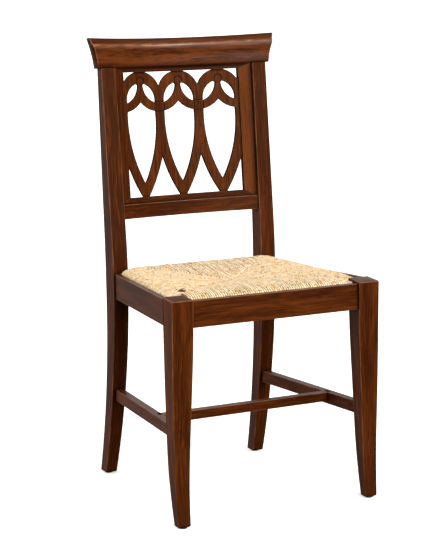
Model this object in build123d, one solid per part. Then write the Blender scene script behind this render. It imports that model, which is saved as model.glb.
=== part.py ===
from build123d import *
import math
import os

# Dining chair with a loose rush seat and a pierced, bowed back. Millimetres, +Z up,
# the front faces -Y, the origin is on the floor in the middle of the plan.

# Plan and heights
OVERALL_DEPTH = 478.0
FRONT_WIDTH = 473.0
BACK_WIDTH = 396.0
SEAT_HEIGHT = 462.5
SEAT_SLOPE = 0.35
RECLINE = 5.17

# Front legs
LEG_WIDTH_TOP = 47.0
LEG_WIDTH_FOOT = 28.0
LEG_OUTER_TAPER = 5.2
LEG_DEPTH_TOP = 45.5
LEG_DEPTH_ANKLE = 33.2
LEG_DEPTH_FOOT = 19.5
LEG_ANKLE_HEIGHT = 157.5
LEG_ANKLE_SETBACK = 7.2
LEG_TOE_SETBACK = 1.5
LEG_TOP_RISE = 3.5

# Rear posts
POST_SETBACK = 377.0
POST_KNEE_HEIGHT = 452.5
POST_KNEE_BLEND = 95.0
POST_CALF_HEIGHT = 402.5
POST_DEPTH_SEAT = 42.5
POST_DEPTH_TOP = 23.0
POST_DEPTH_FOOT = 29.5
POST_WIDTH_SEAT = 35.5
POST_WIDTH_TOP = 33.0
POST_WIDTH_FOOT = 26.5
EDGE_BEVEL = 1.4
RAIL_BEVEL = 0.9

# Seat rails, measured before the seat slope is applied
RAIL_HEIGHT = 54.5
RAIL_THICKNESS = 24.0
RAIL_RISE = 1.0
FRONT_RAIL_SETBACK = 6.4
FRONT_RAIL_DROP = 4.0
SIDE_RAIL_INSET = 4.0
SIDE_LIP = 11.0
FRONT_LIP = 13.0
SEAT_LEDGE_DROP = 20.0
CLEAT_DEPTH = 12.0
CLEAT_HEIGHT = 22.0

# Tenons
TENON_THICKNESS = 10.0
TENON_SHOULDER = 9.0
TENON_LENGTH = 18.0
REAR_TENON_LENGTH = 12.0
MORTISE_CLEARANCE = 0.2

# Stretchers
STRETCHER_HEIGHT = 26.0
STRETCHER_THICKNESS = 18.0
STRETCHER_BOTTOM = 176.5
STRETCHER_FRONT_INSET = 24.5
STRETCHER_REAR_INSET = 15.0
STRETCHER_TENON = 10.0
STRETCHER_TENON_SHOULDER = 5.0
STRETCHER_TENON_LENGTH = 14.0
CROSS_SETBACK = 142.0
CROSS_HEIGHT = 20.0
CROSS_TENON_LENGTH = 8.0

# Back, measured up the recline from the knee of the posts
LOWER_RAIL_START = 124.0
LOWER_RAIL_HEIGHT = 31.0
LOWER_RAIL_THICKNESS = 19.0
LOWER_RAIL_SETBACK = 5.5
FRETWORK_HEIGHT = 294.0
FRET_FRAME_SETBACK = 12.0
FRET_FRAME_THICKNESS = 12.0
FRET_STILE_WIDTH = 26.0
FRET_BOTTOM_HEIGHT = 13.7
FRET_TOP_HEIGHT = 10.3
FRET_PANEL_THICKNESS = 8.0
FRET_REBATE = 5.0
FRET_CLEARANCE = 0.2
FRET_ENGRAVING = 1.2
FRET_GROOVE = 1.6
BACK_BOW_RADIUS = 530.0
CREST_BOW_RADIUS = 600.0
CREST_HEIGHT = 65.0
CREST_THICKNESS = 25.5
CREST_OVERHANG = 7.0
CREST_FLARE = 16.5
CREST_PROUD = 3.0
CREST_HOLLOW = 2.5
CREST_TENON_LENGTH = 22.0

# Ornament of the fretwork, three equal hoops across the field
HOOP_COUNT = 3
HOOP_OUTER_RADIUS = 49.0
HOOP_STRAP = 12.0
HOOP_INNER_DROP = 13.3
TALL_OPENING_WIDTH = 74.0
TALL_ARC_RADIUS = 291.0
STRAP_WIDTH = 20.5
TALL_ARC_LEVEL = 169.3
FESTOON_RADIUS = 60.0
FESTOON_STRAP = 18.4
FESTOON_LEVEL = 243.6
HOOP_LEVEL = 222.3
DISC_RADIUS = 9.0
DISC_LEVEL = 250.0
BOSS_SIZE = 21.0
BOSS_LEVEL = 194.8

# Loose seat
SEAT_GAP = 1.0
SEAT_REST = 0.3
RUSH_EDGE_HEIGHT = 26.0
RUSH_ROLL_WIDTH = 34.0
RUSH_CENTRE_HEIGHT = 15.0
RUSH_LIFT = 1.8
RUSH_CORNER_FALL = 12.0
RUSH_CORNER_REACH = 55.0
RUSH_THICKNESS = 4.0
SEAT_BAR_THICKNESS = 14.0
SEAT_BAR_WIDTH = 32.0
SEAT_FRONT_BAR_WIDTH = 42.0
SEAT_BAR_TENON = 8.0

# Small fittings
GLIDE_RADIUS = 8.5
GLIDE_HEIGHT = 2.5
GLIDE_NAIL_RADIUS = 1.2
GLIDE_NAIL_LENGTH = 14.0
BLOCK_LEG = 52.0
BLOCK_HEIGHT = 26.0
SCREW_RADIUS = 2.2
SCREW_HEAD_RADIUS = 4.2
SCREW_HEAD_HEIGHT = 2.6
SCREW_LENGTH = 46.0
SCREW_CLEARANCE = 0.1
DOWEL_RADIUS = 3.0
DOWEL_LENGTH = 18.0
DOWEL_BITE = 4.5

FRONT = -OVERALL_DEPTH / 2
HALF_FRONT = FRONT_WIDTH / 2
HALF_BACK = BACK_WIDTH / 2
LEG_INNER = HALF_FRONT - LEG_WIDTH_TOP
LEG_REAR = FRONT + LEG_DEPTH_TOP
POST_FRONT = FRONT + POST_SETBACK
POST_INNER = HALF_BACK - POST_WIDTH_SEAT
POST_TOP_INNER = HALF_BACK - POST_WIDTH_TOP
RAIL_TOP = SEAT_HEIGHT + RAIL_RISE
LEDGE = RAIL_TOP - SEAT_LEDGE_DROP
TAN_RECLINE = math.tan(math.radians(RECLINE))
BACK_ORIGIN_Y = POST_FRONT - TAN_RECLINE * POST_KNEE_BLEND / 2
FRET_START = LOWER_RAIL_START + LOWER_RAIL_HEIGHT
CREST_START = FRET_START + FRETWORK_HEIGHT
REACH = 2 * OVERALL_DEPTH
END_TRIM = 3.0

SEAT_PIVOT = Pos(0, FRONT, SEAT_HEIGHT)
TILT = SEAT_PIVOT * Rot(X=-SEAT_SLOPE) * SEAT_PIVOT.inverse()
BACK = Pos(0, BACK_ORIGIN_Y, POST_KNEE_HEIGHT) * Rot(X=-RECLINE)


def span_box(x, y, z, grow=0.0):
    """Box between three pairs of limits, grown alike on every side."""
    limits = (x, y, z)
    size = [abs(b - a) + 2 * grow for a, b in limits]
    centre = [(a + b) / 2 for a, b in limits]
    return Pos(*centre) * Box(*size)


def prism(points, z0, z1):
    """Upright prism over a plan outline."""
    return Pos(0, 0, z0) * extrude(make_face(Polyline(*points, close=True)), amount=z1 - z0)


def sawn(side_edges, front_edges):
    """Piece sawn to a side outline (Y, Z) and to a front outline (X, Z)."""
    side = extrude(Plane.YZ * make_face(side_edges), amount=REACH, both=True)
    front = extrude(Plane.XZ * make_face(front_edges), amount=REACH, both=True)
    return side & front


def ease(piece, bevel, rise):
    """Bevel the edges that climb further than a given rise, and those of the foot."""
    chosen = []
    for edge in piece.edges():
        low, high = sorted(((edge @ 0).Z, (edge @ 1).Z))
        if high - low > rise or high < GLIDE_HEIGHT + 0.1:
            chosen.append(edge)
    return chamfer(chosen, bevel)


def ease_length(piece, bevel, length):
    """Bevel the edges longer than a given length."""
    return chamfer([edge for edge in piece.edges() if edge.length > length], bevel)


def twin(piece):
    """The mirrored piece of the other side."""
    return mirror(piece, about=Plane.YZ)


def side_rail_outer(y):
    """Outer face of the right side rail at a depth."""
    start = (HALF_FRONT, LEG_REAR)
    end = (HALF_BACK - SIDE_RAIL_INSET, POST_FRONT)
    share = (y - start[1]) / (end[1] - start[1])
    return start[0] + share * (end[0] - start[0])


RAIL_LEAN = math.atan2(side_rail_outer(LEG_REAR) - side_rail_outer(POST_FRONT), POST_FRONT - LEG_REAR)
LIP_ACROSS = SIDE_LIP / math.cos(RAIL_LEAN)
RAIL_ACROSS = RAIL_THICKNESS / math.cos(RAIL_LEAN)


def front_leg():
    """Right front leg without its mortises."""
    ankle = LEG_ANKLE_HEIGHT
    foot = GLIDE_HEIGHT
    toe = (FRONT + LEG_TOE_SETBACK, foot)
    heel = (toe[0] + LEG_DEPTH_FOOT, foot)
    shin = (FRONT + LEG_ANKLE_SETBACK, ankle)
    calf = (shin[0] + LEG_DEPTH_ANKLE, ankle)
    top = (FRONT, SEAT_HEIGHT)
    back = (LEG_REAR, SEAT_HEIGHT + LEG_TOP_RISE)
    crown = (FRONT + LEG_DEPTH_TOP / 2, SEAT_HEIGHT + 0.8 * LEG_TOP_RISE)
    drop = (ankle - foot) / 2
    shin_pull = (shin[0] + (shin[0] - top[0]) / (SEAT_HEIGHT - ankle) * drop, ankle - drop)
    calf_pull = (calf[0] + (calf[0] - back[0]) / (back[1] - ankle) * drop, ankle - drop)
    side = [
        Line(top, shin),
        Bezier(shin, shin_pull, toe),
        Line(toe, heel),
        Bezier(heel, calf_pull, calf),
        Line(calf, back),
        ThreePointArc(back, crown, top),
    ]
    rail_foot = RAIL_TOP - FRONT_RAIL_DROP - RAIL_HEIGHT
    over = SEAT_HEIGHT + 3 * LEG_TOP_RISE
    outer_foot = HALF_FRONT - LEG_OUTER_TAPER
    inner_foot = outer_foot - LEG_WIDTH_FOOT
    knee = 0.8 * rail_foot
    front = [
        Line((HALF_FRONT, over), (HALF_FRONT, knee)),
        Bezier((HALF_FRONT, knee), (HALF_FRONT, knee / 2), (outer_foot, foot)),
        Line((outer_foot, foot), (inner_foot, foot)),
        Bezier(
            (inner_foot, foot),
            (inner_foot - 0.1 * (inner_foot - LEG_INNER), ankle),
            (LEG_INNER, 2 * ankle),
            (LEG_INNER, rail_foot),
        ),
        Line((LEG_INNER, rail_foot), (LEG_INNER, over)),
        Line((LEG_INNER, over), (HALF_FRONT, over)),
    ]
    return ease(sawn(side, front), EDGE_BEVEL, 30)


def back_point(n, w):
    """Side view point of the reclined back: n behind its front plane, w up it."""
    lean = math.radians(RECLINE)
    y = BACK_ORIGIN_Y + n * math.cos(lean) + w * math.sin(lean)
    z = POST_KNEE_HEIGHT + w * math.cos(lean) - n * math.sin(lean)
    return (y, z)


def rear_post():
    """Right rear post without its mortises."""
    foot = GLIDE_HEIGHT
    knee = POST_KNEE_HEIGHT
    bend = knee + POST_KNEE_BLEND
    pull = knee + POST_KNEE_BLEND / 2
    rear = POST_FRONT + POST_DEPTH_SEAT
    heel = (FRONT + OVERALL_DEPTH, foot)
    toe = (heel[0] - POST_DEPTH_FOOT, foot)
    top_front = back_point(0, CREST_START)
    top_rear = back_point(POST_DEPTH_TOP, CREST_START)
    bend_front = (POST_FRONT + TAN_RECLINE * (bend - pull), bend)
    share = (bend - pull) / (top_rear[1] - pull)
    bend_rear = (rear + share * (top_rear[0] - rear), bend)
    side = [
        Bezier(toe, (POST_FRONT, knee / 2), (POST_FRONT, knee)),
        Bezier((POST_FRONT, knee), (POST_FRONT, pull), bend_front),
        Line(bend_front, top_front),
        Line(top_front, top_rear),
        Line(top_rear, bend_rear),
        Bezier(bend_rear, (rear, pull), (rear, knee)),
        Line((rear, knee), (rear, POST_CALF_HEIGHT)),
        Bezier((rear, POST_CALF_HEIGHT), (rear, POST_CALF_HEIGHT / 2), heel),
        Line(heel, toe),
    ]
    over = top_front[1] + POST_DEPTH_TOP
    inner_foot = HALF_BACK - POST_WIDTH_FOOT
    front = [
        Line((HALF_BACK, over), (HALF_BACK, foot)),
        Line((HALF_BACK, foot), (inner_foot, foot)),
        Bezier((inner_foot, foot), (POST_INNER, knee / 2), (POST_INNER, knee)),
        Line((POST_INNER, knee), (POST_TOP_INNER, over)),
        Line((POST_TOP_INNER, over), (HALF_BACK, over)),
    ]
    return ease(sawn(side, front), EDGE_BEVEL, 30)


def bow_centre(radius, setback, half):
    """Depth of the axis of a bow whose front face passes a set-back at a half width."""
    return setback - math.sqrt(radius**2 - half**2)


def bowed(outline, axis, inner, outer):
    """Curved board: a ring about an upright axis, sawn to an outline in X and W."""
    tall = 2 * (CREST_START + CREST_HEIGHT)
    ring = Cylinder(outer, tall) - Cylinder(inner, tall)
    block = extrude(Plane.XZ * outline, amount=4 * RAIL_THICKNESS, both=True)
    return (Pos(0, axis, 0) * ring) & block


def rectangle(x0, x1, w0, w1):
    """Outline between limits, for the bowed boards."""
    return Pos((x0 + x1) / 2, (w0 + w1) / 2) * Rectangle(x1 - x0, w1 - w0)


def side_rail():
    """Right side rail as a plain beam, rabbeted for the seat."""
    bottom = RAIL_TOP - RAIL_HEIGHT
    y0 = LEG_REAR - 6
    y1 = POST_FRONT + 6
    across = [(y0, side_rail_outer(y0)), (y1, side_rail_outer(y1))]

    def strip(a, b):
        return [(x - a, y) for y, x in across] + [(x - b, y) for y, x in reversed(across)]

    beam = ease_length(prism(strip(0, RAIL_ACROSS), bottom, RAIL_TOP), RAIL_BEVEL, 100)
    return beam - prism(strip(LIP_ACROSS, 2 * RAIL_ACROSS), LEDGE, RAIL_TOP + 1)


def front_rail():
    """Front rail as a plain beam, rabbeted for the seat."""
    y0 = FRONT + FRONT_RAIL_SETBACK
    top = RAIL_TOP - FRONT_RAIL_DROP
    half = LEG_INNER
    beam = span_box((-half, half), (y0, y0 + RAIL_THICKNESS), (top - RAIL_HEIGHT, top))
    beam = ease_length(beam, RAIL_BEVEL, 100)
    lip = y0 + FRONT_LIP
    return beam - span_box((-half - 1, half + 1), (lip, lip + RAIL_THICKNESS), (LEDGE, top + 1))


def rear_rail():
    """Rear rail between the posts."""
    half = POST_INNER + END_TRIM
    y0 = POST_FRONT
    return span_box((-half, half), (y0, y0 + RAIL_THICKNESS), (RAIL_TOP - RAIL_HEIGHT, RAIL_TOP))


def rail_tenons():
    """Limits of the tenons of the right-hand ends, by joint, before the seat slope."""
    low = RAIL_TOP - RAIL_HEIGHT + TENON_SHOULDER
    high = LEDGE - 1
    grip = TENON_THICKNESS
    y_front = FRONT + FRONT_RAIL_SETBACK + 6
    x_leg = side_rail_outer(LEG_REAR) - RAIL_ACROSS / 2 - grip / 2
    x_post = side_rail_outer(POST_FRONT) - RAIL_ACROSS / 2 - grip / 2
    y_rear = POST_FRONT + REAR_TENON_LENGTH + 4
    return {
        "front": ((LEG_INNER - 4, LEG_INNER + TENON_LENGTH), (y_front, y_front + grip), (low, high)),
        "side_leg": ((x_leg, x_leg + grip), (LEG_REAR - TENON_LENGTH, LEG_REAR + 4), (low, high)),
        "side_post": ((x_post, x_post + grip), (POST_FRONT - 4, POST_FRONT + REAR_TENON_LENGTH), (low, high)),
        "rear": ((POST_INNER - 4, POST_INNER + TENON_LENGTH), (y_rear, y_rear + 6), (low, high)),
    }


def stretcher_axis(y):
    """Middle line of the right side stretcher at a depth."""
    start = (HALF_FRONT - STRETCHER_FRONT_INSET, LEG_REAR)
    end = (HALF_BACK - STRETCHER_REAR_INSET, POST_FRONT)
    share = (y - start[1]) / (end[1] - start[1])
    return start[0] + share * (end[0] - start[0])


def stretcher_beam(y0, y1, thickness, z0, z1):
    """Straight bar on the line of the right side stretcher."""
    half = thickness / 2
    points = [(stretcher_axis(y0) - half, y0), (stretcher_axis(y0) + half, y0)]
    points += [(stretcher_axis(y1) + half, y1), (stretcher_axis(y1) - half, y1)]
    return prism(points, z0, z1)


def stretcher_reach(leg, post):
    """Depths of the leg's rear face and the post's front face at the stretcher."""
    level = STRETCHER_BOTTOM + STRETCHER_HEIGHT / 2
    probe = Plane.XY.offset(level)
    leg_y = section(leg, probe).bounding_box().max.Y
    post_y = section(post, probe).bounding_box().min.Y
    return leg_y, post_y


def crest_section():
    """Section of the crest: N behind its front face, W up it."""
    h = CREST_HEIGHT
    t = CREST_THICKNESS
    nose = (-0.08 * t, 0.69 * h)
    lip = (0.08 * t, 0.80 * h)
    cove = (0.33 * t, 0.86 * h)
    top = (0.58 * t, h)
    return make_face([
        Line((t, 0), (0, 0)),
        Line((0, 0), (0, 0.4 * h)),
        Bezier((0, 0.4 * h), (0, 0.55 * h), (nose[0], 0.6 * h), nose),
        Bezier(nose, (nose[0], 0.755 * h), (0.0, lip[1]), lip),
        Bezier(lip, (0.2 * t, lip[1]), (0.26 * t, 0.815 * h), cove),
        Bezier(cove, (0.42 * t, 0.92 * h), (0.44 * t, h), top),
        Line(top, (0.9 * t, h)),
        Bezier((0.9 * t, h), (0.97 * t, h), (0.97 * t, 0.95 * h)),
        Line((0.97 * t, 0.95 * h), (t, 0)),
    ])


def crest():
    """Crest rail: the section turned about the bow, ends sawn to their flare."""
    half = HALF_BACK + CREST_OVERHANG
    axis = bow_centre(CREST_BOW_RADIUS, -CREST_PROUD, half)
    face = Plane.YZ * (Pos(CREST_BOW_RADIUS, 0) * crest_section())
    swing = math.degrees(math.asin((half + 2 * CREST_FLARE) / CREST_BOW_RADIUS))
    turned = revolve(Rot(Z=-swing) * face, Axis.Z, 2 * swing)
    h = CREST_HEIGHT
    flare = half + CREST_FLARE
    dip = (0, h - CREST_HOLLOW)
    outline = make_face([
        Line((-half, 0), (half, 0)),
        Bezier((half, 0), (half + 0.2 * CREST_FLARE, 0.5 * h), (flare, h)),
        ThreePointArc((flare, h), dip, (-flare, h)),
        Bezier((-flare, h), (-half - 0.2 * CREST_FLARE, 0.5 * h), (-half, 0)),
    ])
    block = extrude(Plane.XZ * outline, amount=4 * RAIL_THICKNESS, both=True)
    return Pos(0, 0, CREST_START) * ((Pos(0, axis, 0) * turned) & block)


def lower_back_rail():
    """Bowed rail under the fretwork, running into the posts."""
    half = POST_INNER + END_TRIM
    axis = bow_centre(BACK_BOW_RADIUS, LOWER_RAIL_SETBACK, POST_INNER)
    outline = rectangle(-half, half, LOWER_RAIL_START, FRET_START)
    rail = bowed(outline, axis, BACK_BOW_RADIUS, BACK_BOW_RADIUS + LOWER_RAIL_THICKNESS)
    return ease_length(rail, RAIL_BEVEL, 100)


FRET_AXIS = bow_centre(BACK_BOW_RADIUS, FRET_FRAME_SETBACK, POST_INNER)
FRET_REAR = BACK_BOW_RADIUS + FRET_FRAME_THICKNESS
PANEL_FRONT = FRET_REAR - FRET_PANEL_THICKNESS
FIELD_HALF = POST_TOP_INNER - FRET_STILE_WIDTH
FIELD_LOW = FRET_START + FRET_BOTTOM_HEIGHT
FIELD_HIGH = CREST_START - FRET_TOP_HEIGHT


def fret_member(side):
    """One mitred member of the fret frame, rebated behind for the panel."""
    outer = POST_INNER + POST_WIDTH_SEAT / 2
    inner = FIELD_HALF
    low, high = FRET_START, CREST_START
    ratio = (outer - inner) / (POST_TOP_INNER - inner)
    low_out = FIELD_LOW - ratio * FRET_BOTTOM_HEIGHT
    high_out = FIELD_HIGH + ratio * FRET_TOP_HEIGHT
    outlines = {
        "right": [(outer, low_out), (outer, high_out), (inner, FIELD_HIGH), (inner, FIELD_LOW)],
        "left": [(-outer, low_out), (-outer, high_out), (-inner, FIELD_HIGH), (-inner, FIELD_LOW)],
        "bottom": [(-outer, low_out), (outer, low_out), (inner, FIELD_LOW), (-inner, FIELD_LOW)],
        "top": [(-outer, high_out), (outer, high_out), (inner, FIELD_HIGH), (-inner, FIELD_HIGH)],
    }
    outline = make_face(Polyline(*outlines[side], close=True)) & rectangle(-outer, outer, low, high)
    board = bowed(outline, FRET_AXIS, BACK_BOW_RADIUS, FRET_REAR)
    r = FRET_REBATE
    rebate = rectangle(-inner - r, inner + r, FIELD_LOW - r, FIELD_HIGH + r)
    return board - bowed(rebate, FRET_AXIS, PANEL_FRONT, FRET_REAR + 5)


def disk(x, w, radius):
    """Circle of the ornament."""
    return Pos(x, w) * Circle(radius)


def cell_centres():
    """Middle lines of the hoops across the field."""
    pitch = hoop_pitch()
    first = -(HOOP_COUNT - 1) / 2 * pitch
    return [first + i * pitch for i in range(HOOP_COUNT)]


def hoop_pitch():
    """Spacing of the hoops: the outer ones touch the stiles."""
    return 2 * (FIELD_HALF + 2.5) / HOOP_COUNT


def fret_openings():
    """Pierced openings of the fretwork, all of arcs."""
    pitch = hoop_pitch()
    half = pitch / 2
    base = FIELD_LOW
    reach = TALL_ARC_RADIUS - TALL_OPENING_WIDTH / 2
    level = base + TALL_ARC_LEVEL
    wide = TALL_ARC_RADIUS + STRAP_WIDTH
    field = rectangle(-FIELD_HALF, FIELD_HALF, FIELD_LOW, FIELD_HIGH)
    above = field & rectangle(-FIELD_HALF, FIELD_HALF, base + HOOP_LEVEL + 14, FIELD_HIGH)
    below = field & rectangle(-FIELD_HALF, FIELD_HALF, FIELD_LOW, base + 0.36 * FRETWORK_HEIGHT)
    hoop_inner = HOOP_OUTER_RADIUS - HOOP_STRAP
    festoon = base + FESTOON_LEVEL
    openings = []
    for x in cell_centres():
        lens = disk(x - reach, level, TALL_ARC_RADIUS) & disk(x + reach, level, TALL_ARC_RADIUS)
        lens = lens & rectangle(x - half, x + half, base, base + HOOP_LEVEL)
        for s in (-1, 1):
            lens = lens - disk(x + s * half, festoon, FESTOON_RADIUS)
        openings.append(lens)
        for s in (-1, 1):
            bowl = disk(x + s * half, festoon, FESTOON_RADIUS - FESTOON_STRAP)
            leaf = disk(x, base + HOOP_LEVEL - HOOP_INNER_DROP, hoop_inner) & bowl
            openings.append(leaf - disk(x, base + DISC_LEVEL, DISC_RADIUS + 1))
        above = above - disk(x, base + HOOP_LEVEL, HOOP_OUTER_RADIUS)
        below = below - (disk(x - reach, level, wide) & disk(x + reach, level, wide))
    return openings + [above, below]


def fret_engraving():
    """Shallow lines cut into the face: eyelets over the leaves and bosses at the crossings."""
    half = hoop_pitch() / 2
    base = FIELD_LOW
    g = FRET_GROOVE / 2
    lines = []
    for x in cell_centres():
        eye = disk(x, base + DISC_LEVEL, DISC_RADIUS + g) - disk(x, base + DISC_LEVEL, DISC_RADIUS - g)
        lines.append(eye)
    for x in cell_centres()[:-1]:
        at = Pos(x + half, base + BOSS_LEVEL)
        ring = Rectangle(BOSS_SIZE + g, BOSS_SIZE + g) - Rectangle(BOSS_SIZE - g, BOSS_SIZE - g)
        lines.append(at * ring)
    return lines


def fretwork_panel():
    """Pierced panel, bowed, with a margin that lies in the rebate of its frame."""
    r = FRET_REBATE - FRET_CLEARANCE
    outline = rectangle(-FIELD_HALF - r, FIELD_HALF + r, FIELD_LOW - r, FIELD_HIGH + r)
    for opening in fret_openings():
        outline = outline - opening
    front = PANEL_FRONT
    panel = bowed(outline, FRET_AXIS, front, FRET_REAR)
    for line in fret_engraving():
        panel = panel - bowed(line, FRET_AXIS, front - 1, front + FRET_ENGRAVING)
    return panel


def seat_plan(inset):
    """Corners of the loose seat, drawn in from its rush edge: front and rear half widths."""
    lip = LIP_ACROSS + SEAT_GAP + inset / math.cos(RAIL_LEAN)
    y0 = FRONT + FRONT_RAIL_SETBACK + FRONT_LIP + SEAT_GAP + inset
    y1 = POST_FRONT - SEAT_GAP - inset
    return y0, side_rail_outer(y0) - lip, y1, side_rail_outer(y1) - lip


def leg_notches(grow):
    """Room for the front leg tops at the front corners of the seat."""
    x = (LEG_INNER - SEAT_GAP - grow, HALF_FRONT + 50)
    y = (FRONT - 50, LEG_REAR + SEAT_GAP + grow)
    notch = span_box(x, y, (LEDGE - 50, LEDGE + 100))
    return notch + twin(notch)


def rush_profile(depth, share):
    """Section of one lobe: a roll at the edge, falling to the middle of the seat."""
    low = LEDGE + SEAT_REST
    top = low + RUSH_EDGE_HEIGHT
    roll = RUSH_ROLL_WIDTH * share
    mid = low + RUSH_CENTRE_HEIGHT
    waist = low + 0.45 * RUSH_EDGE_HEIGHT
    under = low - RUSH_EDGE_HEIGHT
    return make_face([
        Line((0, under), (0, waist)),
        Bezier((0, waist), (0, top - 6), (0.4 * roll, top), (roll, top)),
        Bezier((roll, top), (0.45 * depth, top), (0.7 * depth, mid + 2), (depth, mid)),
        Line((depth, mid), (depth, under)),
        Line((depth, under), (0, under)),
    ])


def rush_lobe(a, b, apex):
    """Lobe over one edge of the seat, mitred on the diagonals to the apex."""
    ax, ay = a
    bx, by = b
    length = math.hypot(bx - ax, by - ay)
    along = ((bx - ax) / length, (by - ay) / length)
    inward = (-along[1], along[0])
    depth = (apex[0] - ax) * inward[0] + (apex[1] - ay) * inward[1]
    plane = Plane(origin=(ax, ay, 0), x_dir=(*inward, 0), z_dir=(*along, 0))
    body = extrude(plane * rush_profile(depth, depth / apex_depth()), amount=2 * length, both=True)
    return body & prism([a, b, apex], LEDGE - 20, LEDGE + 60)


def apex_depth():
    """Distance from the front edge of the rush to the meeting of its lobes."""
    y0, _, y1, _ = seat_plan(0)
    return (y1 - y0) / 2


def rush_corner(corner, apex):
    """What is taken off a corner of the rush, where the cords fall to the frame."""
    fall = RUSH_CORNER_FALL
    reach = RUSH_CORNER_REACH
    radius = (reach**2 + fall**2) / (2 * fall)
    top = LEDGE + SEAT_REST + RUSH_EDGE_HEIGHT
    turn = math.degrees(math.atan2(apex[1] - corner[1], apex[0] - corner[0]))
    block = span_box((-reach, reach), (-2 * reach, 2 * reach), (top - 2 * fall, top + fall))
    drum = Pos(reach, 0, top - radius) * Rot(X=90) * Cylinder(radius, 6 * reach)
    return Pos(corner[0], corner[1], 0) * Rot(Z=turn) * (block - drum)


def rush_seat():
    """Woven seat as one soft body, its four lobes meeting on the diagonals."""
    y0, half0, y1, half1 = seat_plan(0)
    corners = [(-half0, y0), (half0, y0), (half1, y1), (-half1, y1)]
    apex = (0.0, (y0 + y1) / 2)
    lobes = [rush_lobe(corners[i], corners[(i + 1) % 4], apex) for i in range(4)]
    seat = lobes[0] + lobes[1] + lobes[2] + lobes[3]
    for corner in corners:
        seat = seat - rush_corner(corner, apex)
    low = LEDGE + SEAT_REST
    hinge = Pos(0, y0, low)
    seat = hinge * Rot(X=RUSH_LIFT) * hinge.inverse() * seat
    seat = seat & span_box((-REACH, REACH), (-REACH, REACH), (low, low + REACH))
    return seat - leg_notches(0)


def seat_bars():
    """Bars of the loose seat's frame: side bars tenoned into a front and a rear bar."""
    y0, half0, y1, half1 = seat_plan(RUSH_THICKNESS)
    z0 = LEDGE + SEAT_REST + RUSH_THICKNESS
    z1 = z0 + SEAT_BAR_THICKNESS
    board = prism([(-half0, y0), (half0, y0), (half1, y1), (-half1, y1)], z0, z1)
    board = board - leg_notches(RUSH_THICKNESS - SEAT_GAP)
    y_front = y0 + SEAT_FRONT_BAR_WIDTH
    y_rear = y1 - SEAT_BAR_WIDTH
    wide = (-REACH, REACH)
    z = (z0 - 1, z1 + 1)
    front = board & span_box(wide, (y0 - 1, y_front), z)
    rear = board & span_box(wide, (y_rear, y1 + 1), z)
    strip = SEAT_BAR_WIDTH / math.cos(RAIL_LEAN)
    lean = math.tan(RAIL_LEAN)
    inner = [(half0 - strip, y0), (half1 - strip, y1), (-half1 + strip, y1), (-half0 + strip, y0)]
    middle = (board & span_box(wide, (y_front, y_rear), z)) - prism(inner, z0 - 1, z1 + 1)
    x_front = half0 - lean * (y_front - y0) - strip / 2
    x_rear = half1 + lean * (y1 - y_rear) - strip / 2
    tongue = (z0 + 5, z1 - 5)
    sides = {}
    for name, s in (("right", 1), ("left", -1)):
        side = [b for b in middle.solids() if b.center().X * s > 0][0]
        for x, y_end, sign in ((x_front, y_front, -1), (x_rear, y_rear, 1)):
            limits = (x * s - 7, x * s + 7), tuple(sorted((y_end - 2 * sign, y_end + SEAT_BAR_TENON * sign)))
            side = side + span_box(*limits, tongue)
            mortise = span_box(*limits, tongue, MORTISE_CLEARANCE)
            if sign < 0:
                front = front - mortise
            else:
                rear = rear - mortise
        sides[name] = side
    return {
        "seat_bar_front": front,
        "seat_bar_rear": rear,
        "seat_bar_left": sides["left"],
        "seat_bar_right": sides["right"],
    }


def glide():
    """Nail-on glide about its own axis, its sole on the floor."""
    r = GLIDE_RADIUS
    sole = r - 1.5
    disc = make_face([
        Line((0, 0), (sole, 0)),
        Bezier((sole, 0), (r, 0), (r, 1.5)),
        Line((r, 1.5), (r, GLIDE_HEIGHT)),
        Line((r, GLIDE_HEIGHT), (0, GLIDE_HEIGHT)),
        Line((0, GLIDE_HEIGHT), (0, 0)),
    ])
    body = revolve(Plane.XZ * disc, Axis.Z, 360)
    nail = Cylinder(GLIDE_NAIL_RADIUS, GLIDE_NAIL_LENGTH)
    return body + Pos(0, 0, GLIDE_HEIGHT + GLIDE_NAIL_LENGTH / 2) * nail


def glide_nail_hole():
    """Hole of the glide's nail."""
    depth = GLIDE_NAIL_LENGTH + 1
    return Pos(0, 0, GLIDE_HEIGHT + depth / 2) * Cylinder(GLIDE_NAIL_RADIUS, depth)


def corner_block(corner, s_y):
    """Right corner block: a wedge across a rail corner, its sloping face to the middle."""
    x, y = corner
    leg = BLOCK_LEG
    return prism([(x, y), (x - 2 * leg, y), (x, y + 2 * leg * s_y)], LEDGE - BLOCK_HEIGHT, LEDGE)


def screw_shank(grow=0.0):
    """Shank of a screw along +X from the origin, or its hole."""
    length = SCREW_LENGTH + grow
    return Pos(length / 2, 0, 0) * Rot(Y=90) * Cylinder(SCREW_RADIUS + grow, length)


def screw():
    """Screw along +X with the seat of its head at the origin."""
    head = Rot(Y=90) * Cylinder(SCREW_HEAD_RADIUS, SCREW_HEAD_HEIGHT)
    return screw_shank() + Pos(-SCREW_HEAD_HEIGHT / 2, 0, 0) * head


def dowel_spots():
    """Middles and directions of the dowels of the back, in its own frame."""
    mid = BACK_BOW_RADIUS + FRET_FRAME_THICKNESS / 2
    depth = FRET_AXIS + math.sqrt(mid**2 - POST_INNER**2)
    spots = []
    for share in (0.25, 0.75):
        w = FRET_START + share * FRETWORK_HEIGHT
        edge = POST_INNER + (POST_TOP_INNER - POST_INNER) * w / CREST_START
        for s in (-1, 1):
            spots.append(((s * edge, depth, w), "across"))
    for x in (-0.5 * FIELD_HALF, 0.5 * FIELD_HALF):
        n = FRET_AXIS + math.sqrt(mid**2 - x**2)
        spots.append(((x, n, FRET_START + DOWEL_BITE - DOWEL_LENGTH / 2), "up"))
        spots.append(((x, n, CREST_START - DOWEL_BITE + DOWEL_LENGTH / 2), "up"))
    return spots


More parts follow.
